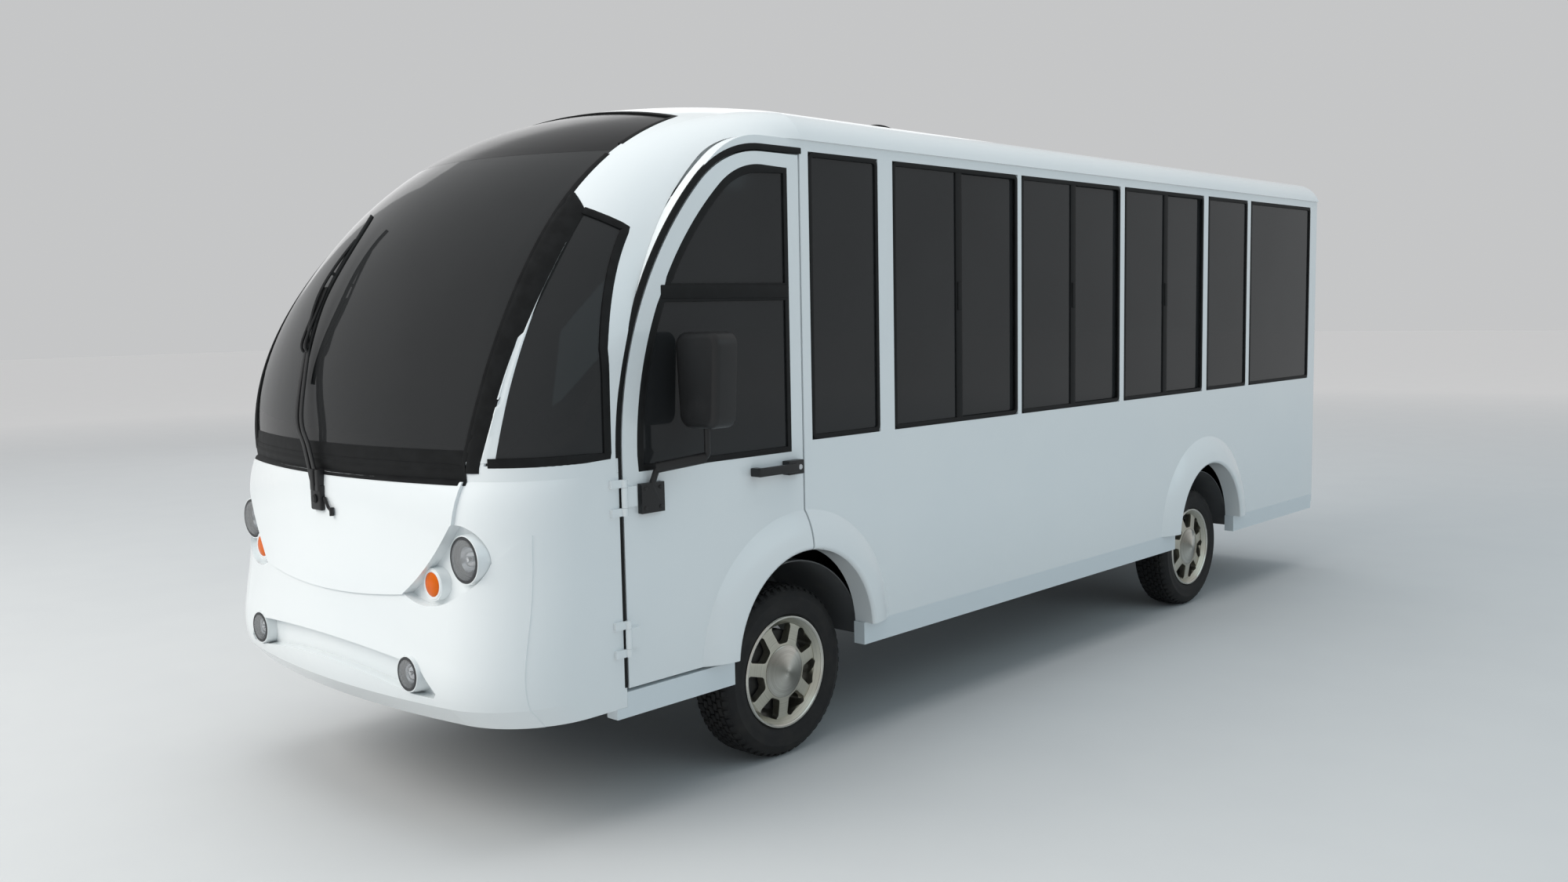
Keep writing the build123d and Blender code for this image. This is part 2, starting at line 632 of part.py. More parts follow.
def make_nose():
    """Moulded nose below the waist, open below and behind, with shield, bumper, lamp pockets and trough."""
    hollow = nose_block(SHELL, -SHELL)
    skin = nose_block(0, 0)
    skin += nose_block(0, 0, LIP_RAISE) & front_prism(bumper_face())
    skin += nose_block(0, 0, SHIELD_RAISE) & front_prism(shield_face())
    skin -= both_sides(front_prism(lamp_pocket_face()) - nose_block(POCKET_DEPTH, -SHELL))
    skin -= front_prism(trough_face()) - nose_block(TROUGH_DEPTH, -SHELL)
    shell = skin - hollow
    for inset, z, radius, behind in (HEADLAMP, INDICATOR, FOG_LAMP):
        x, face_y = HALF_WIDTH - inset, NOSE_Y + behind
        rim = radius + LAMP_WALL
        pod = Pos(x, face_y + POD_DEPTH / 2, z) * Rot(90, 0, 0) * Cone(rim + POD_DRAFT, rim, POD_DEPTH)
        bore = cylinder_y(radius + SEAT_GAP, NOSE_Y - WALL, face_y + POD_DEPTH + CUT, x, z)
        shell = shell + both_sides(pod - hollow) - both_sides(bore)
    room = HALF_WIDTH + CUT
    shell -= box(-room, room, DOOR_FRONT_Y - DOOR_GAP, PILLAR_Y + CUT, 0, WAIST_Z + CUT)
    for z in HINGE_Z:
        for piece in hinge(DOOR_FRONT_Y, z, False):
            shell = shell + piece + to_right(piece)
    return shell


def make_lamps(lamp):
    """Round lamps of one kind: a can with a domed lens in front."""
    inset, z, radius, behind = lamp
    x, face_y = HALF_WIDTH - inset, NOSE_Y + behind
    dome_height = radius * LAMP_DOMING
    can = cylinder_y(radius, face_y, face_y + LAMP_DEPTH, x, z)
    sphere_r = (radius**2 + dome_height**2) / (2 * dome_height)
    lens = Pos(x, face_y + sphere_r - dome_height, z) * Sphere(sphere_r)
    lens = lens & cylinder_y(radius, face_y - dome_height - CUT, face_y, x, z)
    return both_sides(can + lens)


def make_roof():
    """Crowned roof from the pillar line to the tail, with a rounded end wall."""
    angle, w, reach, front, corner = DOME[-1]
    plane = Plane(origin=(0, PILLAR_Y, WAIST_Z), x_dir=(1, 0, 0), z_dir=(0, -1, 0))
    outer = plane * arc_corner_outline(w, reach, front, corner, 0)
    inner = plane * arc_corner_outline(w - SHELL, reach - SHELL, front - SHELL, corner - SHELL, -SHELL)
    length = TAIL_Y - PILLAR_Y
    block = extrude(outer, -length)
    rear_edges = [e for e in block.edges().group_by(Axis.Y)[-1] if e.center().Z > WAIST_Z + CUT]
    block = fillet(rear_edges, min(REAR_CORNER_R, SHELL - CUT))
    roof = block - extrude(inner, -(length - SHELL))
    return roof - box(-w - CUT, w + CUT, PILLAR_Y - CUT, TAIL_Y + CUT, 0, ROOF_EDGE_Z)


def side_wall_outline():
    """Side wall behind the front door, with a hook that frames the door's top and front."""
    frame_front = DOOR_FRONT_Y - DOOR_GAP - DOOR_FRAME_FRONT
    frame_top = DOOR_TOP_Z + DOOR_GAP + DOOR_FRAME_TOP
    outer = door_outline(frame_front + SEAT_GAP, TAIL_Y - WALL, WAIST_Z + SEAT_GAP, frame_top)
    lower = rectangle(PILLAR_Y, TAIL_Y - WALL, PANEL_BOTTOM_Z, WAIST_Z + CUT)
    aperture = door_outline(DOOR_FRONT_Y - DOOR_GAP, PILLAR_Y, PANEL_BOTTOM_Z - CUT, DOOR_TOP_Z + DOOR_GAP)
    return outer + lower - aperture


def bay_panes(number):
    """Start, end and number of panes of a window bay."""
    return BAY_START_Y[number], BAY_END_Y[number], BAYS[number][2]


def make_side_wall(bays):
    """Side wall on the left with its windows, arches and flares."""
    wall = side_prism(side_wall_outline(), HALF_WIDTH - WALL, HALF_WIDTH)
    for number in bays:
        y0, y1, panes = bay_panes(number)
        wall -= box(HALF_WIDTH - WALL - CUT, HALF_WIDTH + CUT, y0, y1, WINDOW_BOTTOM_Z, WINDOW_TOP_Z)
    front_ring = flare(FRONT_AXLE_Y) & box(0, HALF_WIDTH + FLARE_OUT + CUT, PILLAR_Y, TAIL_Y, 0, WAIST_Z)
    wall = wall - flare_seat(FRONT_AXLE_Y) - flare_seat(REAR_AXLE_Y)
    return wall + front_ring + flare(REAR_AXLE_Y)


def make_panes(bays):
    """Panes of the left side; a bay of two has sliding panes on two tracks."""
    panes = []
    for number in bays:
        y0, y1, count = bay_panes(number)
        middle = (y0 + y1) / 2
        spans = [(y0, y1)] if count == 1 else [(y0, middle + PANE_LAP), (middle - PANE_LAP, y1)]
        for track, (a, b) in enumerate(spans):
            x1 = HALF_WIDTH - GLASS_INSET - track * TRACK_PITCH
            a = a + SEAT_GAP if a == y0 else a
            b = b - SEAT_GAP if b == y1 else b
            panes.append(box(x1 - GLASS, x1, a, b, WINDOW_BOTTOM_Z + SEAT_GAP, WINDOW_TOP_Z - SEAT_GAP))
    return panes


def make_rear():
    """Rear wall with round corners, its window opening and lamp holes."""
    wall = box(-HALF_WIDTH, HALF_WIDTH, TAIL_Y - WALL, TAIL_Y, PANEL_BOTTOM_Z - REAR_WALL_DROP, ROOF_EDGE_Z)
    corners = wall.edges().filter_by(Axis.Z).group_by(Axis.Y)[-1]
    wall = fillet(corners, min(REAR_CORNER_R, WALL - CUT))
    wall -= rear_window_box(0, TAIL_Y - WALL - CUT, TAIL_Y + CUT)
    for x in (-TAIL_LAMP_X, TAIL_LAMP_X):
        for z in TAIL_LAMP_Z:
            wall -= cylinder_y(TAIL_LAMP_R + SEAT_GAP, TAIL_Y - TAIL_LAMP_DEPTH, TAIL_Y + CUT, x, z)
    return wall


def rear_window_box(margin, y0, y1):
    """Rear window opening, moved in by the margin."""
    half, z0, z1 = REAR_WINDOW
    return box(-half + margin, half - margin, y0, y1, z0 + margin, z1 - margin)


def make_tail_lamps():
    """Round tail lamps flush with the rear wall."""
    lamps = [cylinder_y(TAIL_LAMP_R, TAIL_Y - TAIL_LAMP_DEPTH + SEAT_GAP, TAIL_Y, x, z)
             for x in (-TAIL_LAMP_X, TAIL_LAMP_X) for z in TAIL_LAMP_Z]
    return Compound(lamps)


def make_sills():
    """Sill strips below the panels, between and beside the arches, both sides."""
    gap = ARCH_R - DOOR_GAP
    spans = [
        (DOOR_FRONT_Y - HINGE_LEAF, FRONT_AXLE_Y - gap),
        (FRONT_AXLE_Y + gap, REAR_AXLE_Y - gap),
        (REAR_AXLE_Y + gap, TAIL_Y - WALL),
    ]
    strips = [box(HALF_WIDTH - WALL, HALF_WIDTH, a, b, SILL_BOTTOM_Z, PANEL_BOTTOM_Z) for a, b in spans]
    outside = HALF_WIDTH + CUT
    front = strips[0] - box(0, outside, NOSE_Y, FRONT_AXLE_Y, SILL_TOP_Z, FLOOR_TOP_Z)
    nose_end = DOOR_FRONT_Y - DOOR_GAP + SEAT_GAP
    front -= box(0, outside, NOSE_Y, nose_end, NOSE_BOTTOM_Z - SEAT_GAP, FLOOR_TOP_Z)
    return both_sides(Compound([front, *strips[1:]]))


# Doors and mirrors

def hinge(door_y, z, on_door):
    """One hinge on the left side: the middle barrel rides on the door, the outer two on the body."""
    x, y = HALF_WIDTH + HINGE_OUT, door_y - DOOR_GAP / 2
    half = HINGE_BARREL / 2
    if on_door:
        spans = [(z - half, z + half)]
        leaf = (y, y + HINGE_LEAF)
    else:
        spans = [(z - half - SEAT_GAP - HINGE_KNUCKLE, z - half - SEAT_GAP),
                 (z + half + SEAT_GAP, z + half + SEAT_GAP + HINGE_KNUCKLE)]
        leaf = (y - HINGE_LEAF, y)
    solids = []
    for z0, z1 in spans:
        solids.append(cylinder_z(HINGE_R, z0, z1, x, y) + box(HALF_WIDTH, x, *leaf, z0, z1))
    return solids


def make_front_door():
    """Left front door with its window openings and the front half of the arch flare."""
    x0, x1 = HALF_WIDTH - WALL, HALF_WIDTH
    leaf = side_prism(door_outline(DOOR_FRONT_Y, DOOR_REAR_Y, DOOR_BOTTOM_Z, DOOR_TOP_Z), x0, x1)
    for part in door_windows(0):
        leaf -= side_prism(part, x0 - CUT, x1 + CUT)
    ring = flare(FRONT_AXLE_Y) & box(0, x1 + FLARE_OUT + CUT, NOSE_Y, DOOR_REAR_Y, DOOR_BOTTOM_Z, WAIST_Z)
    leaf = leaf - flare_seat(FRONT_AXLE_Y) + ring
    for z in HINGE_Z:
        leaf += hinge(DOOR_FRONT_Y, z, True)
    return leaf


def door_windows(margin):
    """Faces of the lower and upper window of the front door, moved in by the margin."""
    front = DOOR_FRONT_Y + DOOR_WINDOW_MARGIN + margin
    rear = DOOR_REAR_Y - DOOR_WINDOW_REAR_MARGIN - margin
    top = DOOR_TOP_Z - DOOR_WINDOW_TOP_MARGIN - margin
    whole = door_outline(front, rear, DOOR_WINDOW_BOTTOM_Z + margin, top)
    split_low, split_high = DOOR_BAR_Z - DOOR_BAR / 2 - margin, DOOR_BAR_Z + DOOR_BAR / 2 + margin
    lower = whole & rectangle(front - CUT, rear + CUT, 0, split_low)
    upper = whole & rectangle(front - CUT, rear + CUT, split_high, ROOF_TOP_Z)
    return lower, upper


def make_door_glass():
    """Lower and upper pane of the left front door."""
    x1 = HALF_WIDTH - GLASS_INSET
    return Compound([s for f in door_windows(SEAT_GAP) for s in side_prism(f, x1 - GLASS, x1).solids()])


def make_handle(y_front, z):
    """Pull handle on the left door's outer face: a lock body, a grip that stands off and a foot."""
    x, y_rear = HALF_WIDTH, y_front + HANDLE_LENGTH
    length, depth, height = HANDLE_LOCK
    stand_off = x + HANDLE_STAND_OFF
    middle = z + HANDLE_GRIP / 2
    lock = box(x, x + depth, y_rear - length, y_rear, middle - height / 2, middle + height / 2)
    grip = box(stand_off, stand_off + HANDLE_THICK, y_front, y_rear - length / 2, z, z + HANDLE_GRIP)
    foot = box(x, stand_off + HANDLE_THICK, y_front, y_front + HANDLE_GRIP, z, z + HANDLE_GRIP)
    return lock + grip + foot


def make_mirror():
    """Left mirror: base plate on the door, bent arm and tapered round-edged housing."""
    cx, cy, cz = MIRROR_CENTRE
    top_half, low_half = MIRROR_WIDTH / 2, MIRROR_WIDTH / 2 - MIRROR_TAPER
    rise = MIRROR_HEIGHT / 2
    outline = Polygon((-top_half, rise), (-low_half, -rise), (low_half, -rise), (top_half, rise), align=None)
    outline = fillet(outline.vertices(), MIRROR_CORNER_R)
    plane = Plane(origin=(cx, cy + MIRROR_DEPTH / 2, cz), x_dir=(1, 0, 0), z_dir=(0, -1, 0))
    housing = extrude(plane * outline, MIRROR_DEPTH)
    housing = fillet(housing.edges().group_by(Axis.Y)[0], MIRROR_EDGE_R)
    x, y, z = HALF_WIDTH, MIRROR_BASE_Y, MIRROR_BASE_Z
    base = box(x, x + MIRROR_BASE_THICK, y - MIRROR_BASE, y + MIRROR_BASE, z - MIRROR_BASE, z + MIRROR_BASE)
    low = Vector(x + MIRROR_BASE_THICK / 2, y, z + MIRROR_BASE * 0.7)
    knee = Vector(x + MIRROR_BASE_THICK + MIRROR_ARM_R, y + MIRROR_ARM_R, z + 2 * MIRROR_BASE)
    elbow = Vector(cx, cy, z + 2.6 * MIRROR_BASE)
    top = Vector(cx, cy, cz - rise + MIRROR_ARM_R)
    arm = rod(FilletPolyline(low, knee, elbow, top, radius=2 * MIRROR_ARM_R), MIRROR_ARM_R)
    return base + arm + housing


def make_entry_door():
    """Right side passenger door leaf with its window opening."""
    x0, x1 = -HALF_WIDTH, -HALF_WIDTH + WALL
    leaf = box(x0, x1, ENTRY_FRONT_Y, ENTRY_REAR_Y, DOOR_BOTTOM_Z, ENTRY_TOP_Z)
    leaf -= entry_window(0, x0 - CUT, x1 + CUT)
    for z in ENTRY_HINGE_Z:
        leaf += [to_right(h) for h in hinge(ENTRY_FRONT_Y, z, True)]
    return leaf


def entry_window(margin, x0, x1):
    """Passenger door's window opening, moved in by the margin."""
    return box(x0, x1, ENTRY_FRONT_Y + ENTRY_FRAME + margin, ENTRY_REAR_Y - ENTRY_FRAME - margin,
               WINDOW_BOTTOM_Z - ENTRY_WINDOW_DROP + margin, ENTRY_TOP_Z - ENTRY_FRAME - margin)


# Chassis, axles and steering

def make_chassis():
    """Ladder frame: two rails, cross members, spring hangers and a flat tow eye at the front."""
    z0, z1 = RAIL_TOP_Z - RAIL_HEIGHT, RAIL_TOP_Z
    half = RAIL_WIDTH / 2
    frame = box(RAIL_X - half, RAIL_X + half, RAIL_FRONT_Y, RAIL_REAR_Y, z0, z1)
    frame += to_right(frame)
    reach = CROSS_MEMBER / 2
    stations = (RAIL_FRONT_Y + CROSS_END, FRONT_AXLE_Y + CROSS_REACH, REAR_AXLE_Y - CROSS_REACH,
                REAR_AXLE_Y + CROSS_REACH, RAIL_REAR_Y - CROSS_END)
    for y in stations:
        frame += box(-RAIL_X, RAIL_X, y - reach, y + reach, z0 + CROSS_INSET, z1 - CROSS_INSET)
    for axle_y in AXLE_Y.values():
        for y in (axle_y - SPRING_REACH, axle_y + SPRING_REACH):
            for x in (-RAIL_X, RAIL_X):
                frame += box(x - half, x + half, y - HANGER_DROP, y + HANGER_DROP, z0 - HANGER_DROP, z0)
    y0 = RAIL_FRONT_Y - TOW_REACH
    tow_z = z0 + CROSS_INSET
    frame += box(-TOW_HALF, TOW_HALF, y0 + TOW_HALF, RAIL_FRONT_Y + CROSS_END, tow_z, tow_z + TOW_THICK)
    frame += cylinder_z(TOW_HALF, tow_z, tow_z + TOW_THICK, 0, y0 + TOW_HALF)
    return frame - cylinder_z(TOW_BORE_R, tow_z - CUT, tow_z + TOW_THICK + CUT, 0, y0 + TOW_BORE_INSET)


def make_springs():
    """Leaf springs under the rails: one bowed pack to each side of each axle."""
    half = RAIL_WIDTH / 2 - GLASS_INSET
    top_end = RAIL_TOP_Z - RAIL_HEIGHT - HANGER_DROP - SEAT_GAP
    low = TYRE_R + AXLE_BEAM / 2 + SEAT_GAP
    reach = SPRING_REACH + SPRING_OVERHANG
    packs = []
    for axle_y in AXLE_Y.values():
        a, b = axle_y - reach, axle_y + reach
        upper = ThreePointArc((a, top_end), (axle_y, low + SPRING_THICK), (b, top_end))
        lower = ThreePointArc((b, top_end - SPRING_THICK), (axle_y, low), (a, top_end - SPRING_THICK))
        face = make_face(Wire([upper, Line((b, top_end), (b, top_end - SPRING_THICK)), lower,
                               Line((a, top_end - SPRING_THICK), (a, top_end))]))
        packs.append(side_prism(face, RAIL_X - half, RAIL_X + half))
    return both_sides(Compound([s for p in packs for s in p.solids()]))


def make_front_axle():
    """Solid front beam with an eye for each kingpin."""
    half, slim = AXLE_BEAM / 2, AXLE_BEAM / 2 * BEAM_SLIM
    low, high = TYRE_R - half, TYRE_R + half
    beam = box(-KINGPIN_X, KINGPIN_X, FRONT_AXLE_Y - slim, FRONT_AXLE_Y + slim, low, high)
    for x in (-KINGPIN_X, KINGPIN_X):
        beam += cylinder_z(EYE_R, low, high, x, FRONT_AXLE_Y)
    for x in (-KINGPIN_X, KINGPIN_X):
        beam -= cylinder_z(KINGPIN_R + RUNNING_GAP, low - CUT, high + CUT, x, FRONT_AXLE_Y)
    return beam


def make_knuckle():
    """Left knuckle: ears above and below the beam's eye, kingpin, spindle and steering arm."""
    half, slim = AXLE_BEAM / 2 + SEAT_GAP, EYE_R * BEAM_SLIM
    low, high = TYRE_R - half - EAR_THICK, TYRE_R + half + EAR_THICK
    x, y = KINGPIN_X, FRONT_AXLE_Y
    web_out, web_thick, web_half = KNUCKLE_WEB
    web_x = x + web_out
    knuckle = cylinder_z(KINGPIN_R, low, high, x, y)
    for z0 in (low, high - EAR_THICK):
        knuckle += cylinder_z(EYE_R, z0, z0 + EAR_THICK, x, y)
        knuckle += box(x, web_x + web_thick, y - slim, y + slim, z0, z0 + EAR_THICK)
    knuckle += box(web_x, web_x + web_thick, y - web_half, y + web_half, low, high)
    knuckle += cylinder_x(SPINDLE_R, web_x, WHEEL_X + SPINDLE_END, y, TYRE_R)
    arm_z = TIE_ROD_Z + TIE_EYE_HALF + CUT
    arm_y, wide = y + STEER_ARM, STEER_ARM_HALF
    knuckle += box(x - wide, x + wide, y, arm_y, arm_z, arm_z + STEER_ARM_THICK)
    knuckle += cylinder_z(STEER_EYE_R, arm_z, arm_z + STEER_ARM_THICK, x, arm_y)
    knuckle += cylinder_z(STEER_PIN_R, TIE_ROD_Z - TIE_EYE_HALF - HINGE_R / 2, arm_z + CUT, x, arm_y)
    return knuckle


def make_tie_rod():
    """Tie rod between the two steering arms, with an eye on each arm's pin."""
    y = FRONT_AXLE_Y + STEER_ARM
    low, high = TIE_ROD_Z - TIE_EYE_HALF, TIE_ROD_Z + TIE_EYE_HALF
    link = cylinder_x(TIE_ROD_R, -KINGPIN_X, KINGPIN_X, y, TIE_ROD_Z)
    for x in (-KINGPIN_X, KINGPIN_X):
        link += cylinder_z(TIE_EYE_R, low, high, x, y)
    for x in (-KINGPIN_X, KINGPIN_X):
        link -= cylinder_z(STEER_PIN_R + PIVOT_GAP, low - CUT, high + CUT, x, y)
    return link


def make_rear_axle():
    """Rear drive axle: tubes, differential, drive motor and spindles."""
    y, z = REAR_AXLE_Y, TYRE_R
    tube_end = WHEEL_X - HUB_END
    motor_front, motor_rear = MOTOR_REACH
    pad = RAIL_WIDTH / 2 - GLASS_INSET
    axle = cylinder_x(AXLE_BEAM / 2, -tube_end, tube_end, y, z)
    axle += Pos(DIFF_X, y, z) * Sphere(DIFF_R)
    axle += cylinder_y(MOTOR_R, y - motor_front, y - motor_rear, DIFF_X, z)
    for side in (-1, 1):
        axle += cylinder_x(SPINDLE_R, *sorted((side * tube_end, side * (WHEEL_X + SPINDLE_END))), y, z)
        axle += box(side * RAIL_X - pad, side * RAIL_X + pad, y - pad, y + pad, z, z + AXLE_BEAM / 2)
    return axle


def make_tyre():
    """Tyre about its own centre, axis along X."""
    # Columns: radius, distance in from the sidewall plane
    flank = [
        (RIM_LIP_R - 14.0, 20.0),
        (RIM_LIP_R + 6.0, 8.0),
        (RIM_LIP_R + 34.0, 0.0),
        (TYRE_R - 34.0, 2.0),
        (TYRE_R - 14.0, 11.0),
        (TYRE_R, 28.0),
    ]
    half = TYRE_WIDTH / 2
    outer = [(r, half - inset) for r, inset in flank]
    inner = [(r, -x) for r, x in reversed(outer)]
    plane = Plane(origin=(0, 0, 0), x_dir=(0, 0, 1), z_dir=(0, 1, 0))
    return revolve(plane * make_face(Polyline(*outer, *inner, close=True)), axis=Axis.X)


def make_rim():
    """Spoked alloy rim about its own centre, outer face towards +X."""
    half = RIM_WIDTH / 2
    bead = RIM_LIP_R - RIM_FLANGE_HEIGHT - SEAT_GAP
    well = bead - RIM_WELL_DROP
    back, face = RIM_BACK_SET - half, half + RIM_FLANGE_OUT
    lap = well + DISC_LAP
    plane = Plane(origin=(0, 0, 0), x_dir=(0, 0, 1), z_dir=(0, 1, 0))
    # Columns: radius, distance out from the wheel's middle
    barrel = [(well, back), (bead, back), (bead, half + RIM_BEAD_OUT), (RIM_LIP_R, half + RIM_FLANGE_IN),
              (RIM_LIP_R, face), (RIM_LIP_R - RIM_FLANGE_LAND, face), (well, half - RIM_WELL_SET)]
    disc = [(0, half - DISC_BACK), (lap, half - DISC_BACK_EDGE), (lap, half - DISC_EDGE),
            (HUB_CAP_R, half + CAP_EDGE_OUT), (0, half + CAP_CROWN_OUT)]
    boss = [(0, -BOSS_BACK), (BOSS_R, -BOSS_BACK), (BOSS_R, half - BOSS_FRONT), (0, half - BOSS_FRONT)]
    rim = revolve(plane * make_face(Polyline(*barrel, close=True)), axis=Axis.X)
    for profile in (disc, boss):
        rim += revolve(plane * make_face(Polyline(*profile, close=True)), axis=Axis.X)
    low, high = HUB_CAP_R + RIM_WINDOW_START, well - RIM_WINDOW_END
    narrow, wide = RIM_WINDOW_INNER, RIM_WINDOW_OUTER
    window = Polygon((-narrow, low), (narrow, low), (wide, high), (-wide, high), align=None)
    window = fillet(window.vertices(), RIM_WINDOW_R)
    for n in range(SPOKES):
        cut = Plane.YZ * Rot(0, 0, 360 / SPOKES * n) * window
        rim -= extrude(cut, RIM_WIDTH, both=True)
    return rim - cylinder_x(SPINDLE_R + RUNNING_GAP, -half, SPINDLE_END + SEAT_GAP, 0, 0)


def make_wells():
    """Inner wheel housings over each wheel."""
    wells = []
    outer_x = HALF_WIDTH - WALL - OPEN_GAP
    for axle_y in AXLE_Y.values():
        def arch(radius):
            above = rectangle(axle_y - radius, axle_y + radius, WELL_BOTTOM_Z, WELL_Z + radius)
            return Pos(axle_y, WELL_Z) * Circle(radius) & above
        skin = side_prism(arch(WELL_R + WELL_SKIN), WELL_INNER_X, outer_x)
        skin -= side_prism(arch(WELL_R), WELL_INNER_X + WELL_SKIN, outer_x + CUT)
        wells.append(skin)
    return both_sides(Compound([s for w in wells for s in w.solids()]))


def make_floor():
    """Floor deck on the rails, narrower under the dashboard and cut round the wheel housings."""
    z0, z1 = FLOOR_TOP_Z - FLOOR_THICK, FLOOR_TOP_Z
    edge = HALF_WIDTH - WALL - OPEN_GAP
    deck = box(-edge, edge, DOOR_FRONT_Y - HINGE_LEAF, TAIL_Y - WALL - SEAT_GAP, z0, z1)
    deck += box(-DASH_HALF, DASH_HALF, DASH_Y + DASH_PROFILE[0][0], DOOR_FRONT_Y, z0, z1)
    reach = WELL_R + WELL_SKIN + SEAT_GAP
    for axle_y in AXLE_Y.values():
        for side in (-1, 1):
            x0, x1 = sorted((side * (WELL_INNER_X - SEAT_GAP), side * (edge + CUT)))
            deck -= box(x0, x1, axle_y - reach, axle_y + reach, z0 - CUT, z1 + CUT)
    return deck


def make_battery():
    """Traction battery between the rails."""
    y0, y1 = FRONT_AXLE_Y + BATTERY_END, REAR_AXLE_Y - BATTERY_END
    return box(-BATTERY_HALF, BATTERY_HALF, y0, y1, BATTERY_BOTTOM_Z, RAIL_TOP_Z - SEAT_GAP)


# Cabin

def make_dashboard():
    """Dashboard under the windscreen on two legs, and the steering column down to the floor."""
    face = make_face(Polyline(*[(DASH_Y + y, WAIST_Z - z) for y, z in DASH_PROFILE], close=True))
    dash = side_prism(face, -DASH_HALF, DASH_HALF)
    wide, front, rear = DASH_LEG
    top_z = WAIST_Z - DASH_PROFILE[-1][1]
    legs = box(DASH_HALF - wide, DASH_HALF, DASH_Y + front, DASH_Y + rear, FLOOR_TOP_Z, top_z)
    top = -STEER_GRIP_R - PIVOT_GAP
    column = Pos(0, 0, top - COLUMN_LENGTH / 2) * Cylinder(COLUMN_R, COLUMN_LENGTH)
    column = Pos(DRIVER_X, *STEER_HUB) * Rot(STEER_TILT, 0, 0) * column
    column &= box(0, HALF_WIDTH, NOSE_Y, FRONT_AXLE_Y, FLOOR_TOP_Z, ROOF_TOP_Z)
    return dash + both_sides(legs) + column


def make_steering_wheel():
    """Steering wheel: rim, three spokes and hub, tilted towards the driver."""
    wheel = Torus(STEER_R, STEER_GRIP_R) + Cylinder(STEER_HUB_R, 2 * STEER_GRIP_R)
    for angle in (90, 210, 330):
        wheel += Rot(0, 0, angle) * Pos(STEER_R / 2, 0, 0) * Box(STEER_R, *STEER_SPOKE)
    return Pos(DRIVER_X, *STEER_HUB) * Rot(STEER_TILT, 0, 0) * wheel


def make_seat(y, x0, x1, leg0, leg1):
    """Seat or bench: pad, reclined back and pedestal down to the floor."""
    rear, low = y + SEAT_DEPTH, SEAT_TOP_Z - SEAT_TUCK
    pad = box(x0, x1, y, rear, SEAT_TOP_Z - SEAT_PAD, SEAT_TOP_Z)
    back = side_prism(make_face(Polyline(
        (rear - SEAT_BACK_LOW, low), (rear, low), (rear + SEAT_LEAN, SEAT_BACK_TOP_Z),
        (rear + SEAT_LEAN - SEAT_BACK_HIGH, SEAT_BACK_TOP_Z), close=True)), x0, x1)
    foot_y, heel_y = y + PEDESTAL_INSET, rear - PEDESTAL_INSET
    legs = box(leg0, leg1, foot_y, heel_y, FLOOR_TOP_Z, SEAT_TOP_Z - SEAT_PAD + SEAT_TUCK)
    return pad + back + legs


def make_front_seats():
    """Driver's and front passenger's seat."""
    half = FRONT_SEAT_HALF
    return both_sides(make_seat(FRONT_SEAT_Y, DRIVER_X - half, DRIVER_X + half, *FRONT_PEDESTAL))


def make_passenger_seats():
    """Benches behind the front seats."""
    seats = [make_seat(FRONT_AXLE_Y + y, x0, x1, a, b) for y, x0, x1, a, b in BENCHES]
    return Compound([s for seat in seats for s in seat.solids()])


def rod(path, radius):
    """Round bar along a path."""
    return sweep(Plane(path @ 0, z_dir=path % 0) * Circle(radius), path=path)


def make_wiper():
    """Central wiper: pivot boss on the nose, twin arms and a long blade along the windscreen."""
    boss_r, boss_length = WIPER_BOSS
    front = WIPER_FRONT_Y
    wiper = cylinder_y(boss_r, front, front + boss_length, 0, WIPER_Z)
    for x in (-WIPER_ARM_X, WIPER_ARM_X):
        path = FilletPolyline((x, front + WIPER_BLADE_R, WIPER_Z), Vector(WIPER_ELBOW) + Vector(x, 0, 0),
                              Vector(WIPER_JOINT) + Vector(x / 2, 0, 0), radius=WIPER_BEND_R)
        wiper += rod(path, WIPER_ROD_R)
    wiper += rod(ThreePointArc(WIPER_LOW, WIPER_MIDDLE, WIPER_HIGH), WIPER_BLADE_R)
    return wiper - nose_block(-SEAT_GAP, 0, SHIELD_RAISE)


def make_roof_vent():
    """Low roof ventilator with an arched top, seated on the roof's crown."""
    half = VENT_HALF_LENGTH
    crown = ThreePointArc((-half, 0), (0, VENT_RISE), (half, 0))
    arch = make_face(Wire([crown, Line((half, 0), (-half, 0))]))
    vent = side_prism(Pos(VENT_Y, ROOF_TOP_Z - VENT_SINK) * arch, -VENT_HALF_WIDTH, VENT_HALF_WIDTH)
    angle, w, reach, front, corner = DOME[-1]
    plane = Plane(origin=(0, PILLAR_Y, WAIST_Z), x_dir=(1, 0, 0), z_dir=(0, -1, 0))
    gap = SEAT_GAP / 2
    roof = plane * arc_corner_outline(w + gap, reach + gap, front + gap, corner + gap, 0)
    return vent - extrude(roof, PILLAR_Y - TAIL_Y)


def write(nodes):
    """Writes each node to its own file."""
    os.makedirs("parts", exist_ok=True)
    for name, shape in nodes.items():
        export_step(shape, f"parts/{name}.step")


def place_wheel(shape, end, side):
    """A wheel piece made about its own centre, set on its axle end."""
    turned = shape if side > 0 else Rot(0, 0, 180) * shape
    return Pos(side * WHEEL_X, AXLE_Y[end], TYRE_R) * turned


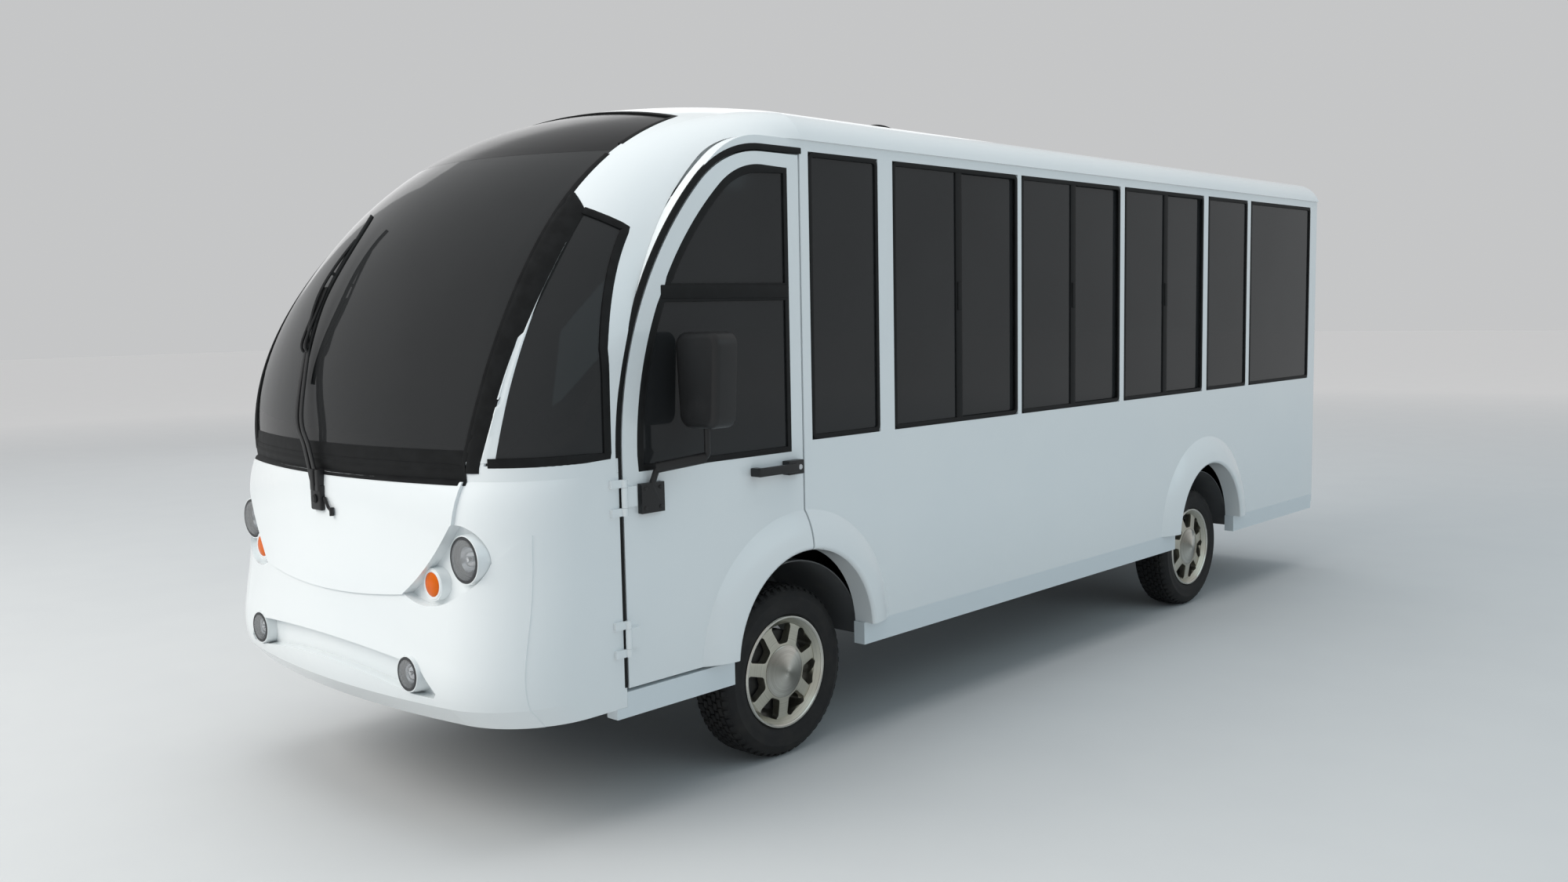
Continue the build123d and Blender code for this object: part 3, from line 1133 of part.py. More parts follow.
def main():
    nodes = {}
    hoop = make_front_hoop()
    nodes["front_hoop"] = hoop
    skin = glass_shell()
    pane = skin & screen_prism(SEAT_GAP, NOSE_Y - WALL, HEADER_REAR_Y - SEAT_GAP)
    room = HALF_WIDTH + CUT
    above = box(-room, room, NOSE_Y - WALL, PILLAR_Y, HEADER_FRONT_Z, ROOF_TOP_Z + SHELL)
    nodes["windscreen"] = pane - above
    nodes["windscreen_header"] = pane & Pos(0, 0, SEAT_GAP) * above
    nodes["quarter_glass"] = both_sides(skin & quarter_prism(SEAT_GAP))
    nodes["nose_panel"] = make_nose()
    nodes["roof_panel"] = make_roof()
    left_bays = range(len(BAYS))
    right_bays = [number for number in left_bays if number != ENTRY_BAY]
    nodes["side_panel_left"] = make_side_wall(left_bays)
    entry_hole = box(HALF_WIDTH - WALL - CUT, HALF_WIDTH + CUT, ENTRY_FRONT_Y - DOOR_GAP,
                     ENTRY_REAR_Y + DOOR_GAP, 0, ENTRY_TOP_Z + DOOR_GAP)
    right_wall = make_side_wall(right_bays) - entry_hole
    for z in ENTRY_HINGE_Z:
        right_wall += hinge(ENTRY_FRONT_Y, z, False)
    nodes["side_panel_right"] = to_right(right_wall)
    nodes["rear_panel"] = make_rear()
    nodes["body_windows"] = Compound([
        *make_panes(left_bays), *[to_right(p) for p in make_panes(right_bays)],
        rear_window_box(SEAT_GAP, TAIL_Y - GLASS_INSET - GLASS, TAIL_Y - GLASS_INSET)])
    nodes["sill_skirts"] = make_sills()
    nodes["headlamps"] = make_lamps(HEADLAMP)
    nodes["front_indicators"] = make_lamps(INDICATOR)
    nodes["fog_lamps"] = make_lamps(FOG_LAMP)
    nodes["tail_lamps"] = make_tail_lamps()
    nodes["wiper"] = make_wiper()
    nodes["roof_vent"] = make_roof_vent()
    nodes["chassis_frame"] = make_chassis()
    nodes["leaf_springs"] = make_springs()
    nodes["front_axle"] = make_front_axle()
    nodes["rear_axle"] = make_rear_axle()
    nodes["battery_pack"] = make_battery()
    nodes["floor_deck"] = make_floor()
    nodes["wheel_wells"] = make_wells()
    nodes["dashboard"] = make_dashboard()
    nodes["steering_wheel"] = make_steering_wheel()
    nodes["front_seats"] = make_front_seats()
    nodes["passenger_seats"] = make_passenger_seats()
    door = {
        "door": make_front_door(),
        "door_glass": make_door_glass(),
        "door_handle": make_handle(DOOR_REAR_Y - HANDLE_INSET - HANDLE_LENGTH, HANDLE_Z),
        "mirror": make_mirror(),
        "knuckle": make_knuckle(),
    }
    for name, shape in door.items():
        nodes[f"{name}_left"] = shape
        nodes[f"{name}_right"] = to_right(shape)
    nodes["entry_door"] = make_entry_door()
    pane_x = -HALF_WIDTH + GLASS_INSET
    nodes["entry_door_glass"] = entry_window(SEAT_GAP, pane_x, pane_x + GLASS)
    handle_y = ENTRY_REAR_Y - HANDLE_INSET - HANDLE_LENGTH
    nodes["entry_door_handle"] = to_right(make_handle(handle_y, ENTRY_HANDLE_Z))
    nodes["tie_rod"] = make_tie_rod()
    tyre, rim = make_tyre(), make_rim()
    for end in AXLE_Y:
        for side, sign in SIDES.items():
            nodes[f"tyre_{end}_{side}"] = place_wheel(tyre, end, sign)
            nodes[f"rim_{end}_{side}"] = place_wheel(rim, end, sign)
    write(nodes)
    print(len(nodes), "nodes")


main()
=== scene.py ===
# %% [markdown]
# # A closed electric shuttle bus, dressed in Blender
# The bus comes as exact solids in metres: X across (its left side is +X), Y along (the nose points to -Y),
# Z up. This lesson keeps those solids where they are and adds what they lack: finishes, rubber, lamps,
# tread and cushions. Everything is measured from the loaded frame, so a piece fits without nudging.

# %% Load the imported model
import json
import math

import bmesh
import bpy
from mathutils import Matrix, Vector
from mathutils.bvhtree import BVHTree


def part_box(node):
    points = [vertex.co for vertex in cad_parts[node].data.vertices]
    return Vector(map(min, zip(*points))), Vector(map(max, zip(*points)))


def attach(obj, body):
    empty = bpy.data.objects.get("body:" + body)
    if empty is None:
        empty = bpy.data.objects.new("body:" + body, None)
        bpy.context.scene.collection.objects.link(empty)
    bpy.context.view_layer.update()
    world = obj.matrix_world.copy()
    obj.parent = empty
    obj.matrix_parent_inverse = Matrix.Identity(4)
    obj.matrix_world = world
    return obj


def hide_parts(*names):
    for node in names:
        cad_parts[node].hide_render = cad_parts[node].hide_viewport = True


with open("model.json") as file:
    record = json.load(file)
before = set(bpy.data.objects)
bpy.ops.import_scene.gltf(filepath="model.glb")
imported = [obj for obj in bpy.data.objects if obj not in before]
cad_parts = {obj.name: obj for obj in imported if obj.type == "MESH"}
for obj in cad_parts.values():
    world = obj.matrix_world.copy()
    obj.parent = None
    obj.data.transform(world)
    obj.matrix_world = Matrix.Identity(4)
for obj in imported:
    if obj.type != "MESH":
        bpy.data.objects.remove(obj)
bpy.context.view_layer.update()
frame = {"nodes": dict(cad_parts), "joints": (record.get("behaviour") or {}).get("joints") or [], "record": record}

NODES = frame["nodes"]
JOINTS = {joint["name"]: Vector(joint["pos_m"]) for joint in frame["joints"]}
HALF_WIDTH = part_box("sill_skirts")[1].x
SIDES = {"left": 1, "right": -1}
WHEELS = {(end, side): JOINTS[f"wheel_{end}_{side}_spin"] for end in ("front", "rear") for side in SIDES}
FRONT_AXLE_Y = WHEELS["front", "left"].y
print("solids", len(NODES), "half width", round(HALF_WIDTH, 3), "front axle", round(FRONT_AXLE_Y, 3))

# %% [markdown]
# ## Sums on sockets
# A finish is a small formula: noise, a mask, a mix. Wiring each node by hand hides the formula, so one
# class wraps a socket and lets Python's own operators add the Math nodes. A second class holds the tree and
# makes every other node.

# %% Socket arithmetic and trees
class Val:
    """An output socket that can stand in a Python expression."""

    def __init__(self, graph, socket):
        self.graph = graph
        self.socket = socket

    def math(self, operation, first, second):
        return self.graph.node("ShaderNodeMath", {"operation": operation}, {0: first, 1: second})

    def __add__(self, other):
        return self.math("ADD", self, other)

    def __radd__(self, other):
        return self.math("ADD", other, self)

    def __sub__(self, other):
        return self.math("SUBTRACT", self, other)

    def __rsub__(self, other):
        return self.math("SUBTRACT", other, self)

    def __mul__(self, other):
        return self.math("MULTIPLY", self, other)

    def __truediv__(self, other):
        return self.math("DIVIDE", self, other)

    def __pow__(self, other):
        return self.math("POWER", self, other)


class Graph:
    """A node tree, for a finish or for geometry."""

    def __init__(self, tree):
        self.tree = tree

    def plug(self, socket, value):
        if isinstance(value, Val):
            self.tree.links.new(value.socket, socket)
        else:
            socket.default_value = value

    def node(self, kind, settings=None, sockets=None, out=0):
        made = self.tree.nodes.new(kind)
        for key, value in (settings or {}).items():
            if key == "stops":
                for number, (place, colour) in enumerate(value):
                    ramp = made.color_ramp.elements
                    stop = ramp[number] if number < len(ramp) else ramp.new(place)
                    stop.position = place
                    stop.color = (*colour, 1.0)
            else:
                setattr(made, key, value)
        for key, value in (sockets or {}).items():
            self.plug(made.inputs[key], value)
        return Val(self, made.outputs[out])


class Finish(Graph):
    """A material round one Principled shader; what never varies is set on the shader's own sockets."""

    def __init__(self, name, constants):
        self.material = bpy.data.materials.new(name)
        self.material.use_nodes = True
        super().__init__(self.material.node_tree)
        self.shader = self.tree.nodes["Principled BSDF"]
        for socket, value in constants.items():
            self.shader.inputs[socket].default_value = value
        self.place = self.node("ShaderNodeTexCoord", out="Object")

    def noise(self, scale, detail=3.0, vector=None):
        sockets = {"Vector": vector or self.place, "Scale": scale, "Detail": detail}
        return self.node("ShaderNodeTexNoise", {}, sockets, out=0)

    def mix(self, factor, first, second):
        return self.node("ShaderNodeMix", {"data_type": "RGBA"}, {0: factor, 6: first, 7: second}, out=2)

    def ramp(self, value, low, high):
        sockets = {"Value": value, "From Min": low, "From Max": high}
        return self.node("ShaderNodeMapRange", {"clamp": True}, sockets, out=0)

    def axis(self, letter):
        return self.node("ShaderNodeSeparateXYZ", {}, {"Vector": self.place}, out=letter)

    def cells(self, scale, feature="F1"):
        sockets = {"Vector": self.place, "Scale": scale}
        return self.node("ShaderNodeTexVoronoi", {"feature": feature}, sockets, out="Distance")

    def waves(self, scale):
        sockets = {"Vector": self.place, "Scale": scale}
        return self.node("ShaderNodeTexWave", {"bands_direction": "X"}, sockets)

    def feed(self, socket, value):
        self.plug(self.shader.inputs[socket], value)

    def bump(self, height, strength, distance):
        sockets = {"Height": height, "Strength": strength, "Distance": distance}
        self.feed("Normal", self.node("ShaderNodeBump", {}, sockets))


def rgb(red, green, blue):
    """Linear colour from 0-255 screen values."""
    def linear(value):
        value = value / 255
        return value / 12.92 if value <= 0.04045 else ((value + 0.055) / 1.055) ** 2.4
    return (linear(red), linear(green), linear(blue), 1.0)


print("tools for finishes ready")

# %% [markdown]
# ## Body finishes
# The shell is white gelcoat: a pigmented resin skin with a clear gloss and a faint ripple from its mould.
# Road dust settles low on the flanks. The panes are dark tinted glass, the trim is rubber and grained
# plastic. Wear follows the same pattern on most of them: where a noise is high, the colour gives way to a
# worn one and the surface gets rougher. One function holds that pattern, so that a finish only states what
# is its own.

# %% Gelcoat, glass and trim
def worn(name, constants, colours, wear, roughness, relief=None):
    """Finish whose colour and roughness change where a noise is high.

    colours: clean, worn, share of worn. wear: scale and detail of the noise, and the values it runs between.
    roughness: clean, and what wear adds. relief: height, strength and distance of the bump.
    """
    f = Finish(name, constants)
    clean, tired, share = colours
    mask = f.noise(*wear[:2])
    if wear[2:]:
        mask = f.ramp(mask, *wear[2:])
    f.feed("Base Color", f.mix(mask * share, clean, tired))
    f.feed("Roughness", roughness[0] + mask * roughness[1])
    if relief:
        height, strength, distance = relief
        f.bump(height(f), strength, distance)
    return f.material


def gelcoat():
    f = Finish("white_gelcoat", {"Coat Weight": 0.6, "Coat Roughness": 0.06})
    cloud = f.noise(1.7, 4.0)
    dust = (1 - f.ramp(f.axis("Z"), 0.30, 0.72)) * (0.8 + f.noise(30.0, 5.0) * 0.4)
    tone = f.mix(f.ramp(cloud, 0.3, 0.7), rgb(235, 239, 240), rgb(231, 236, 238))
    f.feed("Base Color", f.mix(dust * 0.10, tone, rgb(170, 172, 168)))
    f.feed("Roughness", 0.16 + cloud * 0.05 + dust * 0.04)
    f.bump(f.noise(46.0, 2.0), 0.018, 0.004)
    return f.material


def tinted_glass():
    f = Finish("tinted_glass", {"IOR": 1.5, "Specular IOR Level": 0.3})
    film = f.noise(2.2, 3.0)
    f.feed("Base Color", f.mix(film, rgb(38, 39, 40), rgb(47, 48, 49)))
    f.feed("Roughness", 0.035 + film * 0.05)
    f.feed("Alpha", 0.92 + film * 0.05)
    f.bump(f.noise(3.5, 1.0), 0.015, 0.01)
    return f.material


def rubber():
    f = Finish("seal_rubber", {"Specular IOR Level": 0.25})
    bloom = f.noise(30.0, 5.0)
    f.feed("Base Color", f.mix(f.ramp(bloom, 0.4, 0.75), rgb(12, 13, 14), rgb(24, 25, 26)))
    f.feed("Roughness", 0.5 + bloom * 0.2)
    f.bump(f.noise(700.0, 2.0), 0.15, 0.0006)
    return f.material


def grained_plastic(name, colour, scuffed, roughness):
    return worn(name, {"Specular IOR Level": 0.45}, (colour, scuffed, 0.4), (12.0, 6.0, 0.55, 0.8),
                (roughness, 0.12), (lambda f: f.cells(420.0), 0.25, 0.0008))


GELCOAT = gelcoat()
SILL_PAINT = worn("pale_metal", {"Coat Weight": 0.3, "Coat Roughness": 0.1},
                  (rgb(216, 224, 228), rgb(160, 162, 160), 0.05), (3.0, 4.0, 0.2, 0.8), (0.26, 0.05),
                  (lambda f: f.noise(46.0, 2.0), 0.012, 0.002))
GLASS = tinted_glass()
HEADER = worn("dark_gloss", {"IOR": 1.5, "Specular IOR Level": 0.14},
              (rgb(28, 28, 29), rgb(36, 36, 37), 1.0), (5.0, 4.0), (0.12, 0.1),
              (lambda f: f.noise(80.0, 2.0), 0.02, 0.002))
RUBBER = rubber()
BLACK_PLASTIC = grained_plastic("black_plastic", rgb(24, 24, 25), rgb(52, 52, 53), 0.42)
LINER = grained_plastic("grey_liner", rgb(84, 85, 86), rgb(120, 118, 112), 0.6)
DASH_PLASTIC = grained_plastic("dash_plastic", rgb(58, 59, 61), rgb(80, 80, 80), 0.55)
print("body finishes", len(bpy.data.materials))

# %% [markdown]
# ## Running gear and lamp finishes
# Alloy wheels are turned, so fine rings catch the light: a noise that is stretched round the axle does it.
# Lenses are moulded plastic. The frame is painted black and has collected dust.

# %% Metal, tyre, lens and cabin finishes
def alloy(name, colour, roughness, ring, painted_reflection=0.0):
    """Turned metal: rings by the stored radius and depth, and a darker fan painted into the colour as a
    reflection.
    """
    f = Finish(name, {"Metallic": 1.0})
    polar = f.node("ShaderNodeAttribute", {"attribute_name": "turning"}, out="Vector")
    painted_reflection_fan = f.node("ShaderNodeAttribute", {"attribute_name": "painted_reflection_fan"}, out="Fac")
    rings = f.noise(1.0, 4.0, polar)
    burnish = f.mix(rings, colour, rgb(152, 151, 142))
    # Painted reflection: where the stored fan is high, the colour turns darker, drawn in place of the turned cap's
    # sheen.
    f.feed("Base Color", f.mix(painted_reflection_fan * painted_reflection, burnish, rgb(92, 92, 84)))
    f.feed("Roughness", roughness + rings * ring + f.noise(20.0, 4.0) * 0.08)
    f.bump(rings, 0.12, 0.0006)
    return f.material


def painted_steel(name, colour, dusty):
    return worn(name, {"Metallic": 0.2}, (colour, dusty, 0.5), (11.0, 6.0, 0.45, 0.8), (0.45, 0.3),
                (lambda f: f.noise(160.0, 3.0), 0.08, 0.001))


def lens(name, colour, alpha, roughness=0.06, gloss=0.5):
    f = Finish(name, {"IOR": 1.49, "Specular IOR Level": gloss})
    mottle = f.noise(60.0, 3.0)
    f.feed("Base Color", f.mix(mottle, colour, tuple(c * 0.8 for c in colour[:3]) + (1.0,)))
    f.feed("Roughness", roughness + mottle * 0.04)
    f.feed("Alpha", alpha + mottle * 0.05)
    f.bump(f.waves(42.0), 0.3, 0.001)
    return f.material


ALLOY = alloy("alloy", rgb(214, 212, 198), 0.2, 0.22)
# The last number is the strength of the cap's painted reflection, a darker fan in its colour.
POLISHED = alloy("polished_lip", rgb(238, 237, 230), 0.08, 0.08, 0.75)
CHASSIS = painted_steel("chassis_black", rgb(40, 40, 41), rgb(92, 87, 79))
BATTERY = painted_steel("battery_case", rgb(112, 115, 118), rgb(132, 127, 118))
TYRE = worn("tyre", {"Specular IOR Level": 0.35},
            (rgb(27, 27, 28), rgb(74, 71, 66), 0.35), (18.0, 6.0, 0.45, 0.85), (0.72, 0.15),
            (lambda f: f.noise(420.0, 3.0), 0.2, 0.0008))
CLEAR = lens("lamp_clear", (0.86, 0.88, 0.9, 1.0), 0.12)
AMBER = lens("lamp_amber", rgb(226, 104, 8), 0.95, 0.1, 0.2)
RED = lens("lamp_red", rgb(178, 22, 24), 0.95, 0.1, 0.3)
REFLECTOR = worn("reflector", {"Metallic": 1.0},
                 (rgb(222, 224, 226), rgb(200, 203, 206), 1.0), (90.0, 3.0), (0.06, 0.08))
LEATHERETTE = worn("seat_cover", {"Sheen Weight": 0.15, "Specular IOR Level": 0.4},
                   (rgb(70, 72, 78), rgb(104, 104, 106), 0.5), (7.0, 5.0, 0.5, 0.8), (0.5, 0.12),
                   (lambda f: f.cells(260.0, "DISTANCE_TO_EDGE"), 0.3, 0.0015))
MAT = worn("floor_mat", {"Specular IOR Level": 0.3},
           (rgb(78, 79, 80), rgb(118, 114, 106), 0.4), (9.0, 6.0, 0.45, 0.8), (0.6, 0.2),
           (lambda f: f.waves(22.0), 0.4, 0.002))
print("finishes", len(bpy.data.materials))

# %% [markdown]
# ## Giving the solids their finish
# Solids whose shape is already right only need a finish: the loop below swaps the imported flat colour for
# it.

# %% Finishes on the CAD nodes
FINISH_OF_SLOT = {
    "white_gelcoat": GELCOAT, "pale_metal": SILL_PAINT, "tinted_glass": GLASS, "dark_gloss": HEADER,
    "black_plastic": BLACK_PLASTIC, "grey_liner": LINER, "lamp_clear": CLEAR, "lamp_amber": AMBER,
    "lamp_red": RED, "seat_cover": LEATHERETTE, "chassis_black": CHASSIS, "battery_case": BATTERY,
    "tyre": TYRE, "alloy": ALLOY,
}
for part in frame["record"]["subparts"]:
    slots = NODES[part["node"]].data.materials
    slots.clear()
    slots.append(MAT if part["node"] == "floor_deck" else FINISH_OF_SLOT[part["material_slot"]])

# %% [markdown]
# ## Making pieces
# Turned parts (tyres, lamps, caps) come from a profile spun round an axis, bars from a ring carried along a
# path, pads from rounded boxes. Each helper only adds to a bmesh, and one function turns that into a
# finished, riding piece.

# %% Mesh helpers
CREASE = math.radians(40)


def to_mesh(bm, name):
    """Ends a bmesh as a mesh."""
    mesh = bpy.data.meshes.new(name)
    bm.to_mesh(mesh)
    bm.free()
    return mesh


def placed(name, data):
    """New object in the scene, at the origin."""
    made = bpy.data.objects.new(name, data)
    bpy.context.scene.collection.objects.link(made)
    return made


def evaluated(holder):
    """Plain mesh of an object as its modifiers leave it."""
    graph = bpy.context.evaluated_depsgraph_get()
    return bpy.data.meshes.new_from_object(holder.evaluated_get(graph), depsgraph=graph)


def extent(points):
    """Lowest and highest corner of points."""
    return [Vector([pick(p[k] for p in points) for k in range(3)]) for pick in (min, max)]


def lathe(bm, profile, centre, axis, turns=64, closed=False):
    """Spins (radius, distance along the axis) round the axis through the centre."""
    axis = Vector(axis).normalized()
    side = axis.orthogonal().normalized()
    up = axis.cross(side)
    rings = []
    for radius, along in profile:
        middle = Vector(centre) + axis * along
        count = 1 if radius < 1e-6 else turns
        rings.append([bm.verts.new(middle + (side * math.cos(a) + up * math.sin(a)) * radius)
                      for a in (math.tau * n / count for n in range(count))])
    for low, high in zip(rings, rings[1:] + (rings[:1] if closed else [])):
        for n in range(turns):
            m = (n + 1) % turns
            corners = [low[n % len(low)], low[m % len(low)], high[m % len(high)], high[n % len(high)]]
            corners = list(dict.fromkeys(corners))
            if len(corners) > 2:
                bm.faces.new(corners)
    return bm


def tube(bm, points, radius, sides=12):
    """Round bar through the points, with closed ends."""
    points = [Vector(p) for p in points]
    normal = (points[1] - points[0]).orthogonal().normalized()
    rings = []
    for n, point in enumerate(points):
        tangent = (points[min(n + 1, len(points) - 1)] - points[max(n - 1, 0)]).normalized()
        normal = (normal - tangent * normal.dot(tangent)).normalized()
        across = tangent.cross(normal)
        rings.append([bm.verts.new(point + (normal * math.cos(a) + across * math.sin(a)) * radius)
                      for a in (math.tau * k / sides for k in range(sides))])
    for low, high in zip(rings, rings[1:]):
        for k in range(sides):
            bm.faces.new((low[k], low[(k + 1) % sides], high[(k + 1) % sides], high[k]))
    bm.faces.new(rings[0][::-1])
    bm.faces.new(rings[-1])
    return bm


def rounded_box(bm, low, high, radius, segments=3):
    """Box between two corners with all edges rounded."""
    low, high = Vector(low), Vector(high)
    size = Matrix.Diagonal((*(high - low), 1.0))
    made = bmesh.ops.create_cube(bm, size=1.0, matrix=Matrix.Translation((low + high) / 2) @ size)
    edges = list({edge for vert in made["verts"] for edge in vert.link_edges})
    bmesh.ops.bevel(bm, geom=edges, offset=radius, segments=segments, profile=0.5, affect="EDGES")
    return bm


def smooth_path(points, steps=8):
    """Curve through the points, for bent bars and soft profiles."""
    points = [Vector(p) for p in points]
    last = len(points) - 1
    line = []
    for n in range(last):
        a, b = points[n], points[n + 1]
        before, after = points[max(n - 1, 0)], points[min(n + 2, last)]
        for k in range(steps):
            t = k / steps
            line.append(0.5 * (2 * a + (b - before) * t + (2 * before - 5 * a + 4 * b - after) * t**2
                               + (3 * a - before - 3 * b + after) * t**3))
    return line + [points[-1]]


def slab(bm, top, low):
    """Joins two sheets of points, each in rows of equal length, into a closed slab."""
    rows, columns = len(top) - 1, len(top[0]) - 1
    for r in range(rows):
        for c in range(columns):
            bm.faces.new((top[r][c], top[r][c + 1], top[r + 1][c + 1], top[r + 1][c]))
            bm.faces.new((low[r][c], low[r + 1][c], low[r + 1][c + 1], low[r][c + 1]))
    rim = [(r, 0) for r in range(rows)] + [(rows, c) for c in range(columns)]
    rim += [(r, columns) for r in range(rows, 0, -1)] + [(0, c) for c in range(columns, 0, -1)]
    for (r, c), (s, d) in zip(rim, rim[1:] + rim[:1]):
        bm.faces.new((top[r][c], top[s][d], low[s][d], low[r][c]))


def piece(name, shape, body, material, slot, replaces=()):
    """Turns a bmesh or mesh into an object that rides on a body."""
    mesh = shape
    if isinstance(shape, bmesh.types.BMesh):
        bmesh.ops.remove_doubles(shape, verts=shape.verts, dist=1e-6)
        bmesh.ops.recalc_face_normals(shape, faces=shape.faces)
        mesh = to_mesh(shape, name)
    mesh.name = name
    mesh.materials.clear()
    mesh.materials.append(material)
    mesh.shade_smooth()
    mesh.set_sharp_from_angle(angle=CREASE)
    made = placed(name, mesh)
    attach(made, body)
    if replaces:
        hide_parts(*replaces)
    print(name, "faces", len(mesh.polygons))
    return made


# %% [markdown]
# ## Camera, floor and light
# The camera was worked out from the photograph's straight edges: eye height about 1.44 m, a 30 mm lens, a
# slight downward look and a touch of roll. The floor is plain and pale, and large soft lamps light the nose
# more than the flank, as open sky and a low sun do.

# %% Camera
CAMERA_AT = Vector((3.572, -4.5233, 1.4413))
CAMERA_YAW, CAMERA_PITCH, CAMERA_ROLL = math.radians(43.109), math.radians(5.599), math.radians(-1.097)
FOCAL_PIXELS, IMAGE_WIDTH, SENSOR_MM = 1686.7, 2000.0, 36.0


def make_camera():
    ahead = math.cos(CAMERA_PITCH)
    forward = Vector((-math.sin(CAMERA_YAW) * ahead, math.cos(CAMERA_YAW) * ahead, -math.sin(CAMERA_PITCH)))
    level = Vector((math.cos(CAMERA_YAW), math.sin(CAMERA_YAW), 0.0))
    upright = level.cross(forward)
    right = level * math.cos(CAMERA_ROLL) + upright * math.sin(CAMERA_ROLL)
    up = upright * math.cos(CAMERA_ROLL) - level * math.sin(CAMERA_ROLL)
    data = bpy.data.cameras.new("photo_camera")
    data.sensor_width = SENSOR_MM
    data.lens = FOCAL_PIXELS / IMAGE_WIDTH * SENSOR_MM
    data.clip_end = 200.0
    made = placed("photo_camera", data)
    made.matrix_world = Matrix.Translation(CAMERA_AT) @ Matrix((right, up, -forward)).transposed().to_4x4()
    bpy.context.scene.camera = made
    return made


print("lens", round(make_camera().data.lens, 2), "mm")

# %% Floor, world and lamps
FAR_TONE = (0.56, 0.565, 0.57, 1.0)
SKY_TONE = (0.395, 0.455, 0.495)
FLOOR_SHARE = 0.66
FAR_GLOW = tuple(max(far - sky * FLOOR_SHARE, 0.0) for far, sky in zip(FAR_TONE, SKY_TONE)) + (1.0,)


def studio_floor():
    f = Finish("studio_floor", {"Roughness": 0.8})
    f.feed("Base Color", f.mix(f.noise(3.0, 4.0), rgb(204, 205, 206), rgb(209, 210, 210)))
    away = (f.axis("X") ** 2 + f.axis("Y") ** 2) ** 0.5
    f.feed("Emission Color", f.mix(f.ramp(away, 4.0, 18.0), (0.0, 0.0, 0.0, 1.0), FAR_GLOW))
    f.shader.inputs["Emission Strength"].default_value = 1.0
    bm = bmesh.new()
    bmesh.ops.create_grid(bm, x_segments=8, y_segments=8, size=60.0)
    mesh = to_mesh(bm, "studio_floor")
    mesh.materials.append(f.material)
    made = placed("studio_floor", mesh)


def studio_world():
    world = bpy.data.worlds.new("studio_world")
    bpy.context.scene.world = world
    world.use_nodes = True
    graph = Graph(world.node_tree)
    paths = {name: graph.node("ShaderNodeLightPath", out=name) for name in
             ("Is Camera Ray", "Is Glossy Ray", "Is Transmission Ray")}
    seen = graph.node("ShaderNodeMath", {"operation": "MAXIMUM"},
                      {0: paths["Is Camera Ray"], 1: paths["Is Transmission Ray"]})
    shown = graph.node("ShaderNodeMath", {"operation": "MAXIMUM"}, {0: seen, 1: paths["Is Glossy Ray"]})
    background = world.node_tree.nodes["Background"]
    colour = graph.node("ShaderNodeMix", {"data_type": "RGBA"},
                        {0: shown, 6: (*SKY_TONE, 1.0), 7: FAR_TONE}, out=2)
    graph.plug(background.inputs["Color"], colour)


def soft_lamp(name, at, towards, size, watts, colour, mirrored=True):
    data = bpy.data.lights.new(name, "AREA")
    data.shape = "RECTANGLE"
    data.size, data.size_y = size
    data.energy = watts
    data.color = colour
    made = placed(name, data)
    made.location = at
    made.visible_glossy = mirrored
    made.rotation_euler = (Vector(towards) - Vector(at)).to_track_quat("-Z", "Y").to_euler()


studio_floor()
studio_world()
soft_lamp("front_sky", (-2.6, -8.6, 6.0), (0.0, -2.0, 1.0), (9.0, 6.0), 650.0, (1.0, 0.955, 0.90), False)
soft_lamp("flank_sky", (8.0, 1.0, 5.0), (0.8, 0.0, 1.0), (10.0, 5.0), 72.0, (0.66, 0.92, 1.0))
soft_lamp("top_sky", (0.0, 0.0, 8.0), (0.0, 0.0, 0.0), (8.0, 10.0), 290.0, (1.0, 0.98, 0.96), False)
soft_lamp("far_sky", (-8.0, 5.0, 5.0), (0.0, 0.0, 1.0), (10.0, 5.0), 80.0, (1.0, 1.0, 1.0))
bpy.context.scene.view_settings.view_transform = "Standard"
print("lamps", len(bpy.data.lights))

# %% [markdown]
# ## Rubber round the panes
# Each pane sits in a black rubber profile. The profile has one section and follows the pane's edge, which
# is what a Geometry Nodes tree with a curve and a section does well. The edges themselves are read from the
# glass solids: the outer face of a pane is found, and its border becomes the path.

# %% Borders of the glass
def merged(node):
    """bmesh copy of a solid with its loose triangles joined."""
    bm = bmesh.new()
    bm.from_mesh(NODES[node].data)
    bmesh.ops.remove_doubles(bm, verts=bm.verts, dist=1e-5)
    bm.normal_update()
    return bm


def grow(seed, allowed, most=math.pi):
    """Faces joined to the seed across edges no sharper than an angle."""
    group, queue = {seed}, [seed]
    while queue:
        for edge in queue.pop().edges:
            for face in edge.link_faces:
                if face in allowed and face not in group and edge.calc_face_angle(0.0) < most:
                    group.add(face)
                    queue.append(face)
    return group


def shells(bm):
    """Separate solids of a merged mesh, as sets of faces."""
    left, groups = set(bm.faces), []
    while left:
        group = grow(next(iter(left)), left)
        left -= group
        groups.append(group)
    return groups


def outer_face(faces):
    """The outward side of a pane."""
    def weight(face):
        middle = face.calc_center_median()
        cabin = Vector((0.0, min(max(middle.y, -1.4), 2.3), 1.3))
        return face.calc_area() * max(face.normal.dot((middle - cabin).normalized()), 0.0)
    return grow(max(faces, key=weight), faces, 0.4)


def borders(faces):
    """Closed border lines of a set of faces, as (point, normal) pairs."""
    edges = {e for f in faces for e in f.edges if sum(g in faces for g in e.link_faces) == 1}
    lines = []
    while edges:
        edge = edges.pop()
        line = list(edge.verts)
        while line[-1] is not line[0]:
            onward = next((e for e in line[-1].link_edges if e in edges), None)
            if onward is None:
                break
            edges.discard(onward)
            line.append(onward.other_vert(line[-1]))
        lines.append(line[:-1])
    def normal(vert):
        total = Vector()
        for face in vert.link_faces:
            if face in faces:
                total += face.normal
        return total.normalized()
    return [[(v.co.copy(), normal(v)) for v in line] for line in lines]


